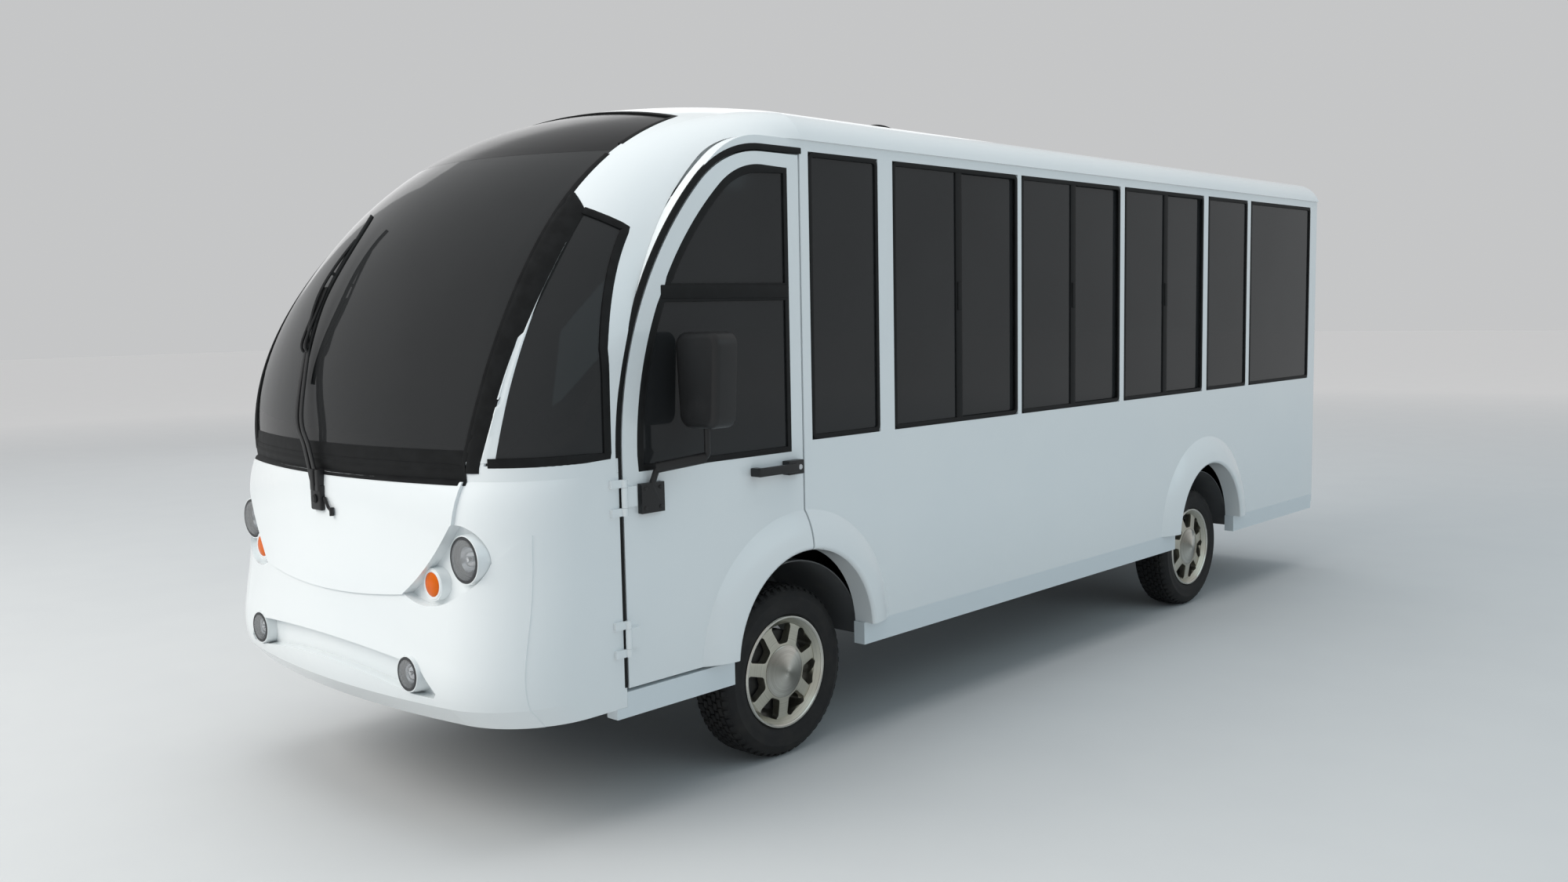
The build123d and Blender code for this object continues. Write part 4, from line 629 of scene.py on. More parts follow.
def pane_borders(node):
    """Borders of all panes of a node."""
    bm = merged(node)
    lines = [line for shell in shells(bm) for line in borders(outer_face(shell))]
    bm.free()
    return lines


print("windscreen border points", [len(line) for line in pane_borders("windscreen")])

# %% [markdown]
# The tree below takes lines with an outward direction on each point and sweeps a rounded rectangle along
# them. Width and depth are inputs, so one tree serves every pane.

# %% The sweeping tree
class Recipe(Graph):
    """A Geometry Nodes tree with named sizes that ends as one plain mesh."""

    def __init__(self, name, sizes):
        super().__init__(bpy.data.node_groups.new(name, "GeometryNodeTree"))
        face = self.tree.interface
        face.new_socket("Geometry", in_out="INPUT", socket_type="NodeSocketGeometry")
        for size, kind in sizes.items():
            face.new_socket(size, in_out="INPUT", socket_type=kind)
        face.new_socket("Finish", in_out="INPUT", socket_type="NodeSocketMaterial")
        face.new_socket("Geometry", in_out="OUTPUT", socket_type="NodeSocketGeometry")
        self.start = self.tree.nodes.new("NodeGroupInput")

    def size(self, name):
        return Val(self, self.start.outputs[name])

    def close(self, geometry):
        real = self.node("GeometryNodeRealizeInstances", {}, {"Geometry": geometry})
        done = self.node("GeometryNodeSetMaterial", {}, {"Geometry": real, "Material": self.size("Finish")})
        end = self.tree.nodes.new("NodeGroupOutput")
        self.plug(end.inputs["Geometry"], done)

    def run(self, mesh, finish, **sizes):
        """Evaluates the tree on a mesh and returns a plain mesh."""
        holder = placed("holder", mesh)
        modifier = holder.modifiers.new("recipe", "NODES")
        modifier.node_group = self.tree
        values = {name.replace("_", " "): value for name, value in sizes.items()} | {"Finish": finish}
        for item in self.tree.interface.items_tree:
            if item.in_out == "INPUT" and item.name in values:
                modifier[item.identifier] = values[item.name]
        made = evaluated(holder)
        holder.modifiers.clear()
        bpy.data.objects.remove(holder)
        return made


def seal_recipe():
    r = Recipe("rubber seal", dict.fromkeys(("Width", "Depth", "Corner"), "NodeSocketFloat"))
    line = r.node("GeometryNodeMeshToCurve", {}, {"Mesh": r.size("Geometry")})
    outward = r.node("GeometryNodeInputNamedAttribute", {"data_type": "FLOAT_VECTOR"}, {"Name": "outward"})
    line = r.node("GeometryNodeSetCurveNormal", {"mode": "FREE"}, {"Curve": line, "Normal": outward})
    section = r.node("GeometryNodeCurvePrimitiveQuadrilateral", {},
                     {"Width": r.size("Depth"), "Height": r.size("Width")})
    section = r.node("GeometryNodeFilletCurve", {"mode": "POLY"},
                     {"Curve": section, "Radius": r.size("Corner"), "Count": 2})
    r.close(r.node("GeometryNodeCurveToMesh", {},
                   {"Curve": line, "Profile Curve": section, "Fill Caps": True}))
    return r


def line_mesh(lines, closed=True):
    """Mesh of lines that carry their outward direction."""
    points, edges, normals = [], [], []
    for line in lines:
        first = len(points)
        points += [point for point, normal in line]
        normals += [normal for point, normal in line]
        edges += [(first + n, first + n + 1) for n in range(len(line) - 1)]
        if closed:
            edges.append((first + len(line) - 1, first))
    mesh = bpy.data.meshes.new("lines")
    mesh.from_pydata(points, edges, [])
    outward = mesh.attributes.new("outward", "FLOAT_VECTOR", "POINT")
    outward.data.foreach_set("vector", [c for normal in normals for c in normal])
    return mesh


def shifted(line, inward, lift=0.0):
    """Border line moved towards the middle of its pane and off its face."""
    count = len(line)
    middle = sum((point for point, normal in line), Vector()) / count
    moved = []
    for n, (point, normal) in enumerate(line):
        before = (point - line[n - 1][0]).normalized()
        after = (line[(n + 1) % count][0] - point).normalized()
        a, b = normal.cross(before), normal.cross(after)
        if a.dot(middle - point) < 0:
            a, b = -a, -b
        across = (a + b).normalized()
        moved.append((point + across * inward / max(across.dot(a), 0.5) + normal * lift, normal))
    return moved


SEAL = seal_recipe()


def strip(name, lines, body, width, depth, finish=RUBBER, closed=True, replaces=()):
    """Flat profile along lines, riding on a body."""
    corner = min(width, depth) * 0.35
    mesh = SEAL.run(line_mesh(lines, closed), finish, Width=width, Depth=depth, Corner=corner)
    bm = bmesh.new()
    bm.from_mesh(mesh)
    return piece(name, bm, body, finish, "black_plastic", replaces)


print("sweeping tree with", len(SEAL.tree.nodes), "nodes")

# %% [markdown]
# ## Side windows
# The bays are wide frames in the wall. Some hold two sliding panes, so two panes whose lengths overlap
# share one frame, and a stile stands where they meet.

# %% Side, rear and entry seals
BAY_SEAL, BAY_SEAL_DEPTH, STILE, CORNER_R = 0.016, 0.009, 0.038, 0.016


def boxes(node):
    """Lowest and highest corner of each solid of a node."""
    bm = merged(node)
    found = [extent([v.co for f in shell for v in f.verts]) for shell in shells(bm)]
    bm.free()
    return found


def side_bays(side):
    """Frames of one flank as (start, end, bottom, top, number of panes)."""
    panes = sorted((b for b in boxes("body_windows") if b[0].x * side > 0.7 or b[1].x * side > 0.7),
                   key=lambda b: b[0].y)
    bays = []
    for low, high in panes:
        if high.x - low.x > 0.1:
            continue
        if bays and low.y < bays[-1][1]:
            bays[-1][1] = high.y
            bays[-1][4] += 1
        else:
            bays.append([low.y, high.y, low.z, high.z, 1])
    return bays


def frame_line(y0, y1, z0, z1, x, side, inset):
    """Rounded rectangle on a flank."""
    y0, y1, z0, z1 = y0 + inset, y1 - inset, z0 + inset, z1 - inset
    corners = [(y0, z0, 180), (y1, z0, 270), (y1, z1, 0), (y0, z1, 90)]
    line = []
    for y, z, start in corners:
        cy = y + (CORNER_R if y == y0 else -CORNER_R)
        cz = z + (CORNER_R if z == z0 else -CORNER_R)
        for step in range(5):
            a = math.radians(start + 22.5 * step)
            point = Vector((x, cy + CORNER_R * math.cos(a), cz + CORNER_R * math.sin(a)))
            line.append((point, Vector((side, 0, 0))))
    return line


for side_name, side in SIDES.items():
    bays = side_bays(side)
    x = side * (HALF_WIDTH - 0.003)
    lines = [frame_line(y0, y1, z0, z1, x, side, BAY_SEAL / 2) for y0, y1, z0, z1, panes in bays]
    strip(f"side_seals_{side_name}", lines, "body", BAY_SEAL, BAY_SEAL_DEPTH)
    bm = bmesh.new()
    for y0, y1, z0, z1, panes in bays:
        if panes == 2:
            middle = (y0 + y1) / 2
            low = Vector((x - 0.006, middle - STILE / 2, z0 + 0.01))
            rounded_box(bm, low, low + Vector((0.009, STILE, z1 - z0 - 0.02)), 0.0025)
            catch = Vector((x - 0.004, middle - 0.012, (z0 + z1) / 2 - 0.05))
            rounded_box(bm, catch, catch + Vector((0.012, 0.024, 0.1)), 0.004)
    piece(f"window_stiles_{side_name}", bm, "body", RUBBER, "black_plastic")

rear_lines = [line for line in pane_borders("body_windows") if all(normal.y > 0.9 for point, normal in line)]
strip("rear_seal", [shifted(line, 0.008, -0.001) for line in rear_lines], "body", 0.020, BAY_SEAL_DEPTH)

# %% [markdown]
# ## The glass nose
# The windscreen and the quarter panes are bonded to the hoop. A black rubber covers the pillar between
# them: narrow at its foot, where a white trim fills the rest of the pillar, and wide enough at the top to
# meet the quarter pane. A broad band runs along the foot of the screen. All of them lie on the curved skin,
# so their points are found by shooting rays at the solids and are lifted a little off them.

# %% Bands that lie on the dome
PILLAR_LOW_Z, PILLAR_TOP_Z, PILLAR_LAP, PILLAR_WIDTH, PILLAR_TIP = 1.032, 1.785, 0.008, 0.044, 0.010
FLARE_LOW_Z, FLARE_HIGH_Z, FLARE_LAP = 1.25, 1.64, 0.009
TRIM_LOW_Z, TRIM_TUCK, TRIM_LAP, TRIM_OVERLAP, TRIM_LEAST = PILLAR_LOW_Z + 0.028, 0.004, 0.002, 0.018, 0.001
BAND_LOW_Z, BAND_HIGH_Z = 1.000, 1.092
BAND_LIFT, TRIM_LIFT, BAND_CROWN, BAND_THICK = 0.0012, 0.0002, 0.0028, 0.005
RAY_START_Y, RAY_BESIDE, JOINT_DEPTH = -4.0, 0.0015, 0.012


def read_between(pairs, z):
    """Value at a height, from sorted (height, value) pairs."""
    for (low, first), (high, second) in zip(pairs, pairs[1:]):
        if z <= high:
            return first + (second - first) * max(z - low, 0.0) / max(high - low, 1e-6)
    return pairs[-1][1]


def screen_side():
    """Edge of the windscreen in the front view, as (height, half width) pairs from its foot up."""
    widths = {}
    for line in pane_borders("windscreen"):
        for point, normal in line:
            height = round(point.z, 3)
            if point.x > 0:
                widths[height] = max(widths.get(height, 0.0), point.x)
    return sorted(widths.items())


SCREEN_SIDE = screen_side()


def screen_edge_x(z):
    """Half width of the windscreen at a height."""
    return read_between(SCREEN_SIDE, z)


def skin_tree():
    bm = bmesh.new()
    for node in ("front_hoop", "windscreen", "windscreen_header", "quarter_glass", "nose_panel"):
        bm.from_mesh(NODES[node].data)
    tree = BVHTree.FromBMesh(bm)
    bm.free()
    return tree


SKIN = skin_tree()


def on_skin(x, z):
    """Point and normal of the nose at a place of the front view; rays beside it bridge a pane's joint."""
    near = [(0.0, 0.0), (-RAY_BESIDE, 0.0), (RAY_BESIDE, 0.0), (0.0, -RAY_BESIDE), (0.0, RAY_BESIDE)]
    hits = [SKIN.ray_cast(Vector((x + aside, RAY_START_Y, z + above)), Vector((0, 1, 0)))[:2]
            for aside, above in near]
    hits = [(point, normal) for point, normal in hits if point is not None]
    front = min(point.y for point, normal in hits)
    point, normal = next(hit for hit in hits if hit[0].y < front + JOINT_DEPTH)
    return Vector((x, point.y, z)), normal if normal.y < 0 else -normal


def lying_band(bm, rows, columns, place, lift):
    """Closed strip on the skin, crowned along its middle; place(u, v) gives a point of the front view."""
    top, low = [], []
    for r in range(rows + 1):
        upper, under = [], []
        for c in range(columns + 1):
            point, normal = on_skin(*place(r / rows, c / columns))
            crown = lift + BAND_CROWN * (1 - (2 * c / columns - 1) ** 2)
            upper.append(bm.verts.new(point + normal * crown))
            under.append(bm.verts.new(point - normal * BAND_THICK))
        top.append(upper)
        low.append(under)
    slab(bm, top, low)


def quarter_runs(line):
    """Border of a quarter pane in two runs from its front foot to its tip: by the pillar, and the rest."""
    count, low = len(line), min(point.z for point, normal in line) + 0.012
    foot = min((n for n in range(count) if line[n][0].z < low), key=lambda n: abs(line[n][0].x))
    tip = max(range(count), key=lambda n: line[n][0].z)
    runs = [[(foot + n) % count for n in range((tip - foot) % count + 1)],
            [(foot - n) % count for n in range((foot - tip) % count + 1)]]
    return sorted(runs, key=lambda run: sum(abs(line[n][0].x) for n in run) / len(run))


QUARTERS = pane_borders("quarter_glass")
QUARTER_FRONT = sorted((QUARTERS[0][n][0].z, abs(QUARTERS[0][n][0].x))
                       for n in quarter_runs(QUARTERS[0])[0])
QUARTER_TOP_Z = QUARTER_FRONT[-1][0]
print("quarter panes begin at half width", round(QUARTER_FRONT[0][1], 3), "and end at height",
      round(QUARTER_TOP_Z, 3))


def quarter_edge_x(z):
    """Half width at which the quarter panes begin, at a height."""
    return read_between(QUARTER_FRONT, z)


def pillar_edge_x(z):
    """Half width at which the black band ends: it widens upwards until it meets the quarter pane."""
    part = min(max((z - FLARE_LOW_Z) / (FLARE_HIGH_Z - FLARE_LOW_Z), 0.0), 1.0)
    part *= part * (3 - 2 * part)
    straight = screen_edge_x(z) + PILLAR_WIDTH
    return straight + (quarter_edge_x(z) + FLARE_LAP - straight) * part


def pillar_place(side):
    def place(u, v):
        z = PILLAR_LOW_Z + (PILLAR_TOP_Z - PILLAR_LOW_Z) * u
        full = min((PILLAR_TOP_Z - z) / (PILLAR_TOP_Z - QUARTER_TOP_Z), 1.0)
        start = screen_edge_x(z) - PILLAR_LAP
        tip = start + PILLAR_LAP + PILLAR_TIP
        return side * (start + (tip + (pillar_edge_x(z) - tip) * full - start) * v), z
    return place


def trim_place(side):
    def place(u, v):
        z = TRIM_LOW_Z + (FLARE_HIGH_Z - TRIM_LOW_Z) * u
        start = pillar_edge_x(z) - TRIM_TUCK
        outer = quarter_edge_x(z) + TRIM_LAP + TRIM_OVERLAP * (1 - u) ** 1.5
        return side * (start + max(outer - start, TRIM_LEAST) * v), z
    return place


def foot_place(u, v):
    half = SCREEN_SIDE[0][1] + PILLAR_LAP
    return -half + 2 * half * u, BAND_LOW_Z + (BAND_HIGH_Z - BAND_LOW_Z) * v


BOTH = tuple(SIDES.values())
# Columns: name, rows, columns, places, lift, finish, slot
BANDS = [
    ("screen_pillars", 48, 6, [pillar_place(side) for side in BOTH], BAND_LIFT, RUBBER, "black_plastic"),
    ("pillar_trim", 48, 4, [trim_place(side) for side in BOTH], TRIM_LIFT, GELCOAT, "white_gelcoat"),
    ("screen_foot_band", 64, 12, [foot_place], BAND_LIFT, RUBBER, "black_plastic"),
]
for name, rows, columns, places, lift, finish, slot in BANDS:
    bm = bmesh.new()
    for place in places:
        lying_band(bm, rows, columns, place, lift)
    piece(name, bm, "body", finish, slot)

# %% Seals of the dome's glass
JOINT_Z, JOINT_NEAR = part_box("windscreen")[1].z, 0.003


def open_run(line, kept):
    """The kept points of a closed line as one open line."""
    start = next(n for n in range(len(line)) if kept[n] and not kept[n - 1])
    order = [(start + n) % len(line) for n in range(len(line))]
    return [line[n] for n in order if kept[n]]


def without_joint(line):
    """Border without the stretch where screen and header meet."""
    apart = [abs(point.z - JOINT_Z) > JOINT_NEAR for point, normal in line]
    return open_run(shifted(line, 0.004, 0.002), apart)


screen_lines = [without_joint(line) for node in ("windscreen", "windscreen_header")
                for line in pane_borders(node)]
strip("screen_seal", screen_lines, "body", 0.020, 0.007, closed=False)
quarter_lines = [[shifted(line, 0.006, 0.002)[n] for n in quarter_runs(line)[1]] for line in QUARTERS]
strip("quarter_seals", quarter_lines, "body", 0.026, 0.007, closed=False)

# %% [markdown]
# ## Door trim
# The front doors have two panes with a black bar between them; all edges carry rubber. The trim rides on
# its door. The body side of a door's joint has a rubber of its own, which shows as a dark line round the
# door: it follows the door's edge, a little away from it, and stays on the body when the door swings.

# %% Door seals and bars
for side_name, side in SIDES.items():
    body = f"front_door_{side_name}"
    lines = pane_borders(f"door_glass_{side_name}")
    strip(f"door_seals_{side_name}", [shifted(line, 0.004, 0.002) for line in lines], body, 0.026, 0.008)
    panes = sorted(boxes(f"door_glass_{side_name}"), key=lambda b: b[0].z)
    bar_z = (panes[0][1].z + panes[1][0].z) / 2
    rail = [p for line in lines for p, n in line if abs(p.z - bar_z) < 0.03]
    y0, y1 = min(p.y for p in rail), max(p.y for p in rail)
    x0, x1 = sorted((side * (HALF_WIDTH - 0.008), side * (HALF_WIDTH + 0.003)))
    bm = bmesh.new()
    rounded_box(bm, (x0, y0 - 0.004, bar_z - 0.020), (x1, y1 + 0.004, bar_z + 0.020), 0.004)
    piece(f"door_bar_{side_name}", bm, body, RUBBER, "black_plastic")

# %% Rubber in the door joints
GAP_AWAY, GAP_SUNK, GAP_STEP = 0.014, 0.003, 0.004
WAIST_Z, ARC_END_Y, DOOR_HEAD_Z = 1.0, -1.60, 1.8


def tall(line):
    heights = [point.z for point, normal in line]
    return max(heights) - min(heights)


def door_gap(side_name):
    """Line along a door's front and top edges, moved off the door."""
    bm = merged(f"door_{side_name}")
    loops = borders(outer_face(max(shells(bm), key=len)))
    bm.free()
    edge = shifted(max(loops, key=tall), -GAP_AWAY, -GAP_SUNK)
    kept = [p.z > WAIST_Z and (p.y < ARC_END_Y or p.z > DOOR_HEAD_Z) for p, normal in edge]
    return open_run(edge, kept)


for side_name, side in SIDES.items():
    upper = door_gap(side_name)
    strip(f"door_gap_{side_name}", [upper], "body", 0.020, 0.010, closed=False)
    foot = min((p for p, normal in upper), key=lambda p: p.z)
    ends = [foot.z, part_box(f"door_{side_name}")[0].z + GAP_STEP]
    low = [(Vector((foot.x, foot.y + GAP_STEP, z)), Vector((side, 0, 0))) for z in ends]
    strip(f"door_gap_low_{side_name}", [low], "body", 0.012, 0.010, closed=False)

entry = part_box("entry_door_glass")
entry_line = frame_line(entry[0].y, entry[1].y, entry[0].z, entry[1].z, -HALF_WIDTH + 0.003, -1, 0.004)
strip("entry_seal", [entry_line], "entry_leaf", 0.024, 0.009)

# %% [markdown]
# ## Tyres
# A road tyre is a turned carcass with blocks of rubber standing on it. The carcass is a lathe profile. The
# blocks repeat round the wheel in five staggered rows, plus a leaning row on each shoulder, so one block is
# modelled and a Geometry Nodes tree sets the copies out by angle.

# %% Tread tree
tyre_low, tyre_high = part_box("tyre_front_left")
TYRE_R, TYRE_HALF = (tyre_high.z - tyre_low.z) / 2, (tyre_high.x - tyre_low.x) / 2
rim_low, rim_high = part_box("rim_front_left")
LIP_R, RIM_FACE = (rim_high.z - rim_low.z) / 2, rim_high.x - WHEELS["front", "left"].x
GROOVE, BLOCKS, ROWS, ROW_PITCH = 0.008, 54, 5, 0.0205
BLOCK_SIZE, LUG_SIZE = Vector((0.0165, 0.027, 0.012)), Vector((0.022, 0.019, 0.009))


def tread_recipe():
    sizes = {"Radius": "NodeSocketFloat", "Blocks": "NodeSocketInt", "Rows": "NodeSocketInt",
             "Row Pitch": "NodeSocketFloat", "Centre": "NodeSocketFloat", "Lean": "NodeSocketFloat",
             "Skew": "NodeSocketFloat"}
    r = Recipe("tyre tread", sizes)
    index = r.node("GeometryNodeInputIndex")
    row = r.node("ShaderNodeMath", {"operation": "FLOOR"}, {0: index / r.size("Blocks")})
    odd = r.node("ShaderNodeMath", {"operation": "MODULO"}, {0: row, 1: 2.0})
    angle = (index - row * r.size("Blocks") + odd * 0.5) / r.size("Blocks") * math.tau
    out = r.node("ShaderNodeMath", {"operation": "COSINE"}, {0: angle}) * r.size("Radius")
    round_by = r.node("ShaderNodeMath", {"operation": "SINE"}, {0: angle}) * r.size("Radius")
    across = r.size("Centre") + (row - (r.size("Rows") - 1) * 0.5) * r.size("Row Pitch")
    place = r.node("ShaderNodeCombineXYZ", {}, {"X": across, "Y": round_by * -1, "Z": out})
    count = r.size("Blocks") * r.size("Rows")
    points = r.node("GeometryNodePoints", {}, {"Count": count, "Position": place})
    about_axle = r.node("ShaderNodeCombineXYZ", {}, {"X": angle})
    own = r.node("ShaderNodeCombineXYZ", {}, {"Y": r.size("Lean"), "Z": r.size("Skew") * (1 - odd * 2)})
    turn = r.node("FunctionNodeRotateRotation", {"rotation_space": "LOCAL"},
                  {0: r.node("FunctionNodeEulerToRotation", {}, {0: about_axle}),
                   1: r.node("FunctionNodeEulerToRotation", {}, {0: own})})
    r.close(r.node("GeometryNodeInstanceOnPoints", {},
                   {"Points": points, "Instance": r.size("Geometry"), "Rotation": turn}))
    return r


TREAD = tread_recipe()


def block_mesh(size):
    """One tread block with its top in the plane z = 0."""
    low, high = Vector((-size.x / 2, -size.y / 2, -size.z)), Vector((size.x / 2, size.y / 2, 0.0))
    return to_mesh(rounded_box(bmesh.new(), low, high, 0.0022, 1), "block")


def tyre_shape():
    """Carcass and tread about the wheel's centre, axle along X."""
    bm = bmesh.new()
    # Columns: radius, distance in from the sidewall plane
    flank = [
        (LIP_R - 0.013, 0.020), (LIP_R + 0.003, 0.011), (LIP_R + 0.009, 0.005), (LIP_R + 0.015, 0.0045),
        (LIP_R + 0.020, 0.0020), (LIP_R + 0.034, 0.0008), (TYRE_R - 0.044, 0.0010),
        (TYRE_R - 0.042, 0.0000), (TYRE_R - 0.038, 0.0000), (TYRE_R - 0.036, 0.0012),
        (TYRE_R - 0.022, 0.0060), (TYRE_R - 0.014, 0.0130), (TYRE_R - GROOVE - 0.002, 0.0230),
        (TYRE_R - GROOVE, 0.0300),
    ]
    outer = [(radius, TYRE_HALF - inset) for radius, inset in flank]
    lathe(bm, outer + [(r, -x) for r, x in reversed(outer)], (0, 0, 0), (1, 0, 0), turns=96, closed=True)
    top = math.sqrt(TYRE_R**2 - (BLOCK_SIZE.y / 2) ** 2) - 0.0006
    rows = TREAD.run(block_mesh(BLOCK_SIZE), TYRE, Radius=top, Blocks=BLOCKS, Rows=ROWS,
                     Row_Pitch=ROW_PITCH, Centre=0.0, Lean=0.0, Skew=0.22)
    bm.from_mesh(rows)
    for side in SIDES.values():
        lugs = TREAD.run(block_mesh(LUG_SIZE), TYRE, Radius=TYRE_R - 0.0085, Blocks=BLOCKS, Rows=1,
                         Row_Pitch=0.0, Centre=side * (TYRE_HALF - 0.0175), Lean=side * 0.72, Skew=0.0)
        bm.from_mesh(lugs)
    return to_mesh(bm, "tyre_shape")


TYRE_SHAPE = tyre_shape()
for (end, side), centre in WHEELS.items():
    bm = bmesh.new()
    bm.from_mesh(TYRE_SHAPE)
    bmesh.ops.translate(bm, verts=bm.verts, vec=centre)
    piece(f"tread_{end}_{side}", bm, f"wheel_{end}_{side}", TYRE, "tyre", [f"tyre_{end}_{side}"])

# %% [markdown]
# ## Alloy wheels
# Each rim is cast and then turned: soft edges on the spokes, a polished flange and a conical centre cap
# with a turned sheen, which is painted into the cap's colour as a darker fan, a painted reflection. The
# spokes keep the solid's shape and only gain rounded edges; flange and cap are lathe work. Between the
# spokes a finned brake drum shows, so that is turned as well.

# %% Rims, flanges, caps and drums
CAP_R = 0.086
# Each profile: radius, distance out from the rim's face
FLANGE = [(LIP_R - 0.011, -0.010), (LIP_R - 0.010, -0.001), (LIP_R - 0.006, 0.0025), (LIP_R - 0.001, 0.0025),
          (LIP_R + 0.002, -0.001), (LIP_R + 0.001, -0.007)]
CAP = [(0.0, -0.019), (0.084, -0.019), (0.087, -0.012), (0.085, -0.0075), (0.080, -0.0055), (0.044, 0.003),
       (0.010, 0.0105), (0.0, 0.0115)]
DRUM = [(0.040, -0.085), (0.128, -0.085), (0.131, -0.081), (0.131, -0.074), (0.126, -0.070), (0.126, -0.062),
        (0.131, -0.058), (0.129, -0.050), (0.060, -0.046), (0.040, -0.046)]
# Columns: name, profile, steps round, whether the profile closes, finish, slot
TURNED = [("flange", FLANGE, 96, True, POLISHED, "alloy"), ("cap", CAP, 72, False, POLISHED, "alloy"),
          ("drum", DRUM, 64, True, CHASSIS, "chassis_black")]


def turned_rings(mesh, centre):
    """Stores radius and depth about the axle, for rings of noise, and a fan of painted reflection for the cap."""
    values, painted_reflection = [], []
    for vert in mesh.vertices:
        away = vert.co - centre
        radius = math.hypot(away.y, away.z)
        values += [radius * 420.0, away.x * 260.0, 0.0]
        # Painted reflection: two dark sectors by angle round the axle, kept only within the cap's radius.
        painted_reflection_fan = 0.5 + 0.5 * math.cos(2 * math.atan2(away.z, away.y) + 1.0)
        painted_reflection.append(painted_reflection_fan if radius < CAP_R else 0.0)
    mesh.attributes.new("turning", "FLOAT_VECTOR", "POINT").data.foreach_set("vector", values)
    mesh.attributes.new("painted_reflection_fan", "FLOAT", "POINT").data.foreach_set("value", painted_reflection)


def softened(node, width, segments=2, sharp=35):
    """Copy of a solid with its sharp edges rounded."""
    bm = merged(node)
    bmesh.ops.dissolve_limit(bm, angle_limit=0.01, verts=bm.verts, edges=bm.edges)
    holder = placed("holder", to_mesh(bm, node))
    bevel = holder.modifiers.new("soft edges", "BEVEL")
    bevel.width, bevel.segments, bevel.limit_method = width, segments, "ANGLE"
    bevel.angle_limit = math.radians(sharp)
    bevel.harden_normals = False
    made = evaluated(holder)
    bpy.data.objects.remove(holder)
    return made


for (end, side), centre in WHEELS.items():
    body, axis = f"wheel_{end}_{side}", (SIDES[side], 0, 0)
    spokes = piece(f"spokes_{end}_{side}", softened(f"rim_{end}_{side}", 0.005, 3), body, ALLOY, "alloy",
                   [f"rim_{end}_{side}"])
    turned_rings(spokes.data, centre)
    for name, profile, turns, closed, finish, slot in TURNED:
        outline = [(radius, RIM_FACE + out) for radius, out in profile]
        bm = lathe(bmesh.new(), outline, centre, axis, turns, closed)
        made = piece(f"{name}_{end}_{side}", bm, body, finish, slot)
        if slot == "alloy":
            turned_rings(made.data, centre)

# %% [markdown]
# ## Lamps
# A headlamp is a clear domed lens over a polished bowl with a bulb, held by a ring; the bowl is smaller
# than the lens, and a stepped dark housing fills the space between them. Fog lamps are made the same way.
# Indicators and tail lamps have coloured lenses over a full bowl. Each is turned about its own axis, so the
# lathe makes all of them.

# %% Lamp parts
DOMING, LENS_FOOT, LENS_INNER = 0.22, 0.006, 0.965


def lamp_places(node):
    """Tip, radius and facing direction of each lamp of a node."""
    found = []
    for low, high in boxes(node):
        facing = -1 if low.y < 0 else 1
        radius = (high.x - low.x) / 2
        tip = low.y if facing < 0 else high.y
        middle = Vector(((low.x + high.x) / 2, tip, (low.z + high.z) / 2))
        found.append((middle, radius, Vector((0, facing, 0))))
    return found


def dome(radius, height, steps=6):
    """Quarter outline of a lens, from its rim to its tip."""
    angles = [math.pi / 2 * n / steps for n in range(steps + 1)]
    return [(radius * math.cos(a), height * math.sin(a)) for a in angles]


def lamp_set(label, node, lens_finish, slot, depth, ring_finish, share=1.0):
    """Lenses, bowls with bulbs and rings for all lamps of a node; a small bowl gets a dark housing."""
    lenses, bowls, rings, housings = bmesh.new(), bmesh.new(), bmesh.new(), bmesh.new()
    for tip, radius, facing in lamp_places(node):
        height = radius * DOMING
        rim = tip - facing * height
        edge = radius - 0.0015
        inner = [(r * LENS_INNER, h * 0.9) for r, h in dome(edge, height)]
        skin = [(edge, -LENS_FOOT)] + dome(edge, height) + inner[::-1] + [(edge * LENS_INNER, -LENS_FOOT)]
        lathe(lenses, skin, rim, facing, 48, True)
        if share < 1:
            house = [(edge, -0.005), (edge * 0.95, -0.009), (edge * 0.93, -0.007), (edge * 0.88, -0.014),
                     (edge * 0.80, -0.013), (edge * (share + 0.02), -0.020), (edge * share, -depth),
                     (edge, -depth)]
            lathe(housings, house, rim, facing, 48, True)
        bowl = [(edge * share * (1 - 0.8 * t**2), -0.005 - 0.008 * (share < 1) - depth * t)
                for t in (n / 8 for n in range(9))]
        back = [(r + 0.0012, along - 0.0015) for r, along in reversed(bowl)]
        lathe(bowls, bowl + back, rim, facing, 48, True)
        bulb = [(0.0, -depth - 0.004), (radius * 0.13, -depth - 0.004), (radius * 0.13, -depth * 0.6),
                (radius * 0.17, -depth * 0.45), (radius * 0.12, -depth * 0.28), (0.0, -depth * 0.22)]
        lathe(bowls, bulb, rim, facing, 24)
        hoop = [(radius - 0.0035, -0.004), (radius - 0.003, 0.0015), (radius + 0.001, 0.003),
                (radius + 0.0045, 0.0015), (radius + 0.0055, -0.002)]
        lathe(rings, hoop, rim, facing, 64, True)
    piece(f"{label}_lenses", lenses, "body", lens_finish, slot, [node])
    piece(f"{label}_bowls", bowls, "body", REFLECTOR, "alloy")
    piece(f"{label}_rings", rings, "body", ring_finish, "alloy")
    if share < 1:
        piece(f"{label}_housings", housings, "body", BLACK_PLASTIC, "black_plastic")
    else:
        housings.free()


lamp_set("headlamp", "headlamps", CLEAR, "lamp_clear", 0.040, DASH_PLASTIC, 0.62)
lamp_set("indicator", "front_indicators", AMBER, "lamp_amber", 0.022, GELCOAT)
lamp_set("fog_lamp", "fog_lamps", CLEAR, "lamp_clear", 0.028, DASH_PLASTIC, 0.72)
lamp_set("tail_lamp", "tail_lamps", RED, "lamp_red", 0.012, BLACK_PLASTIC)

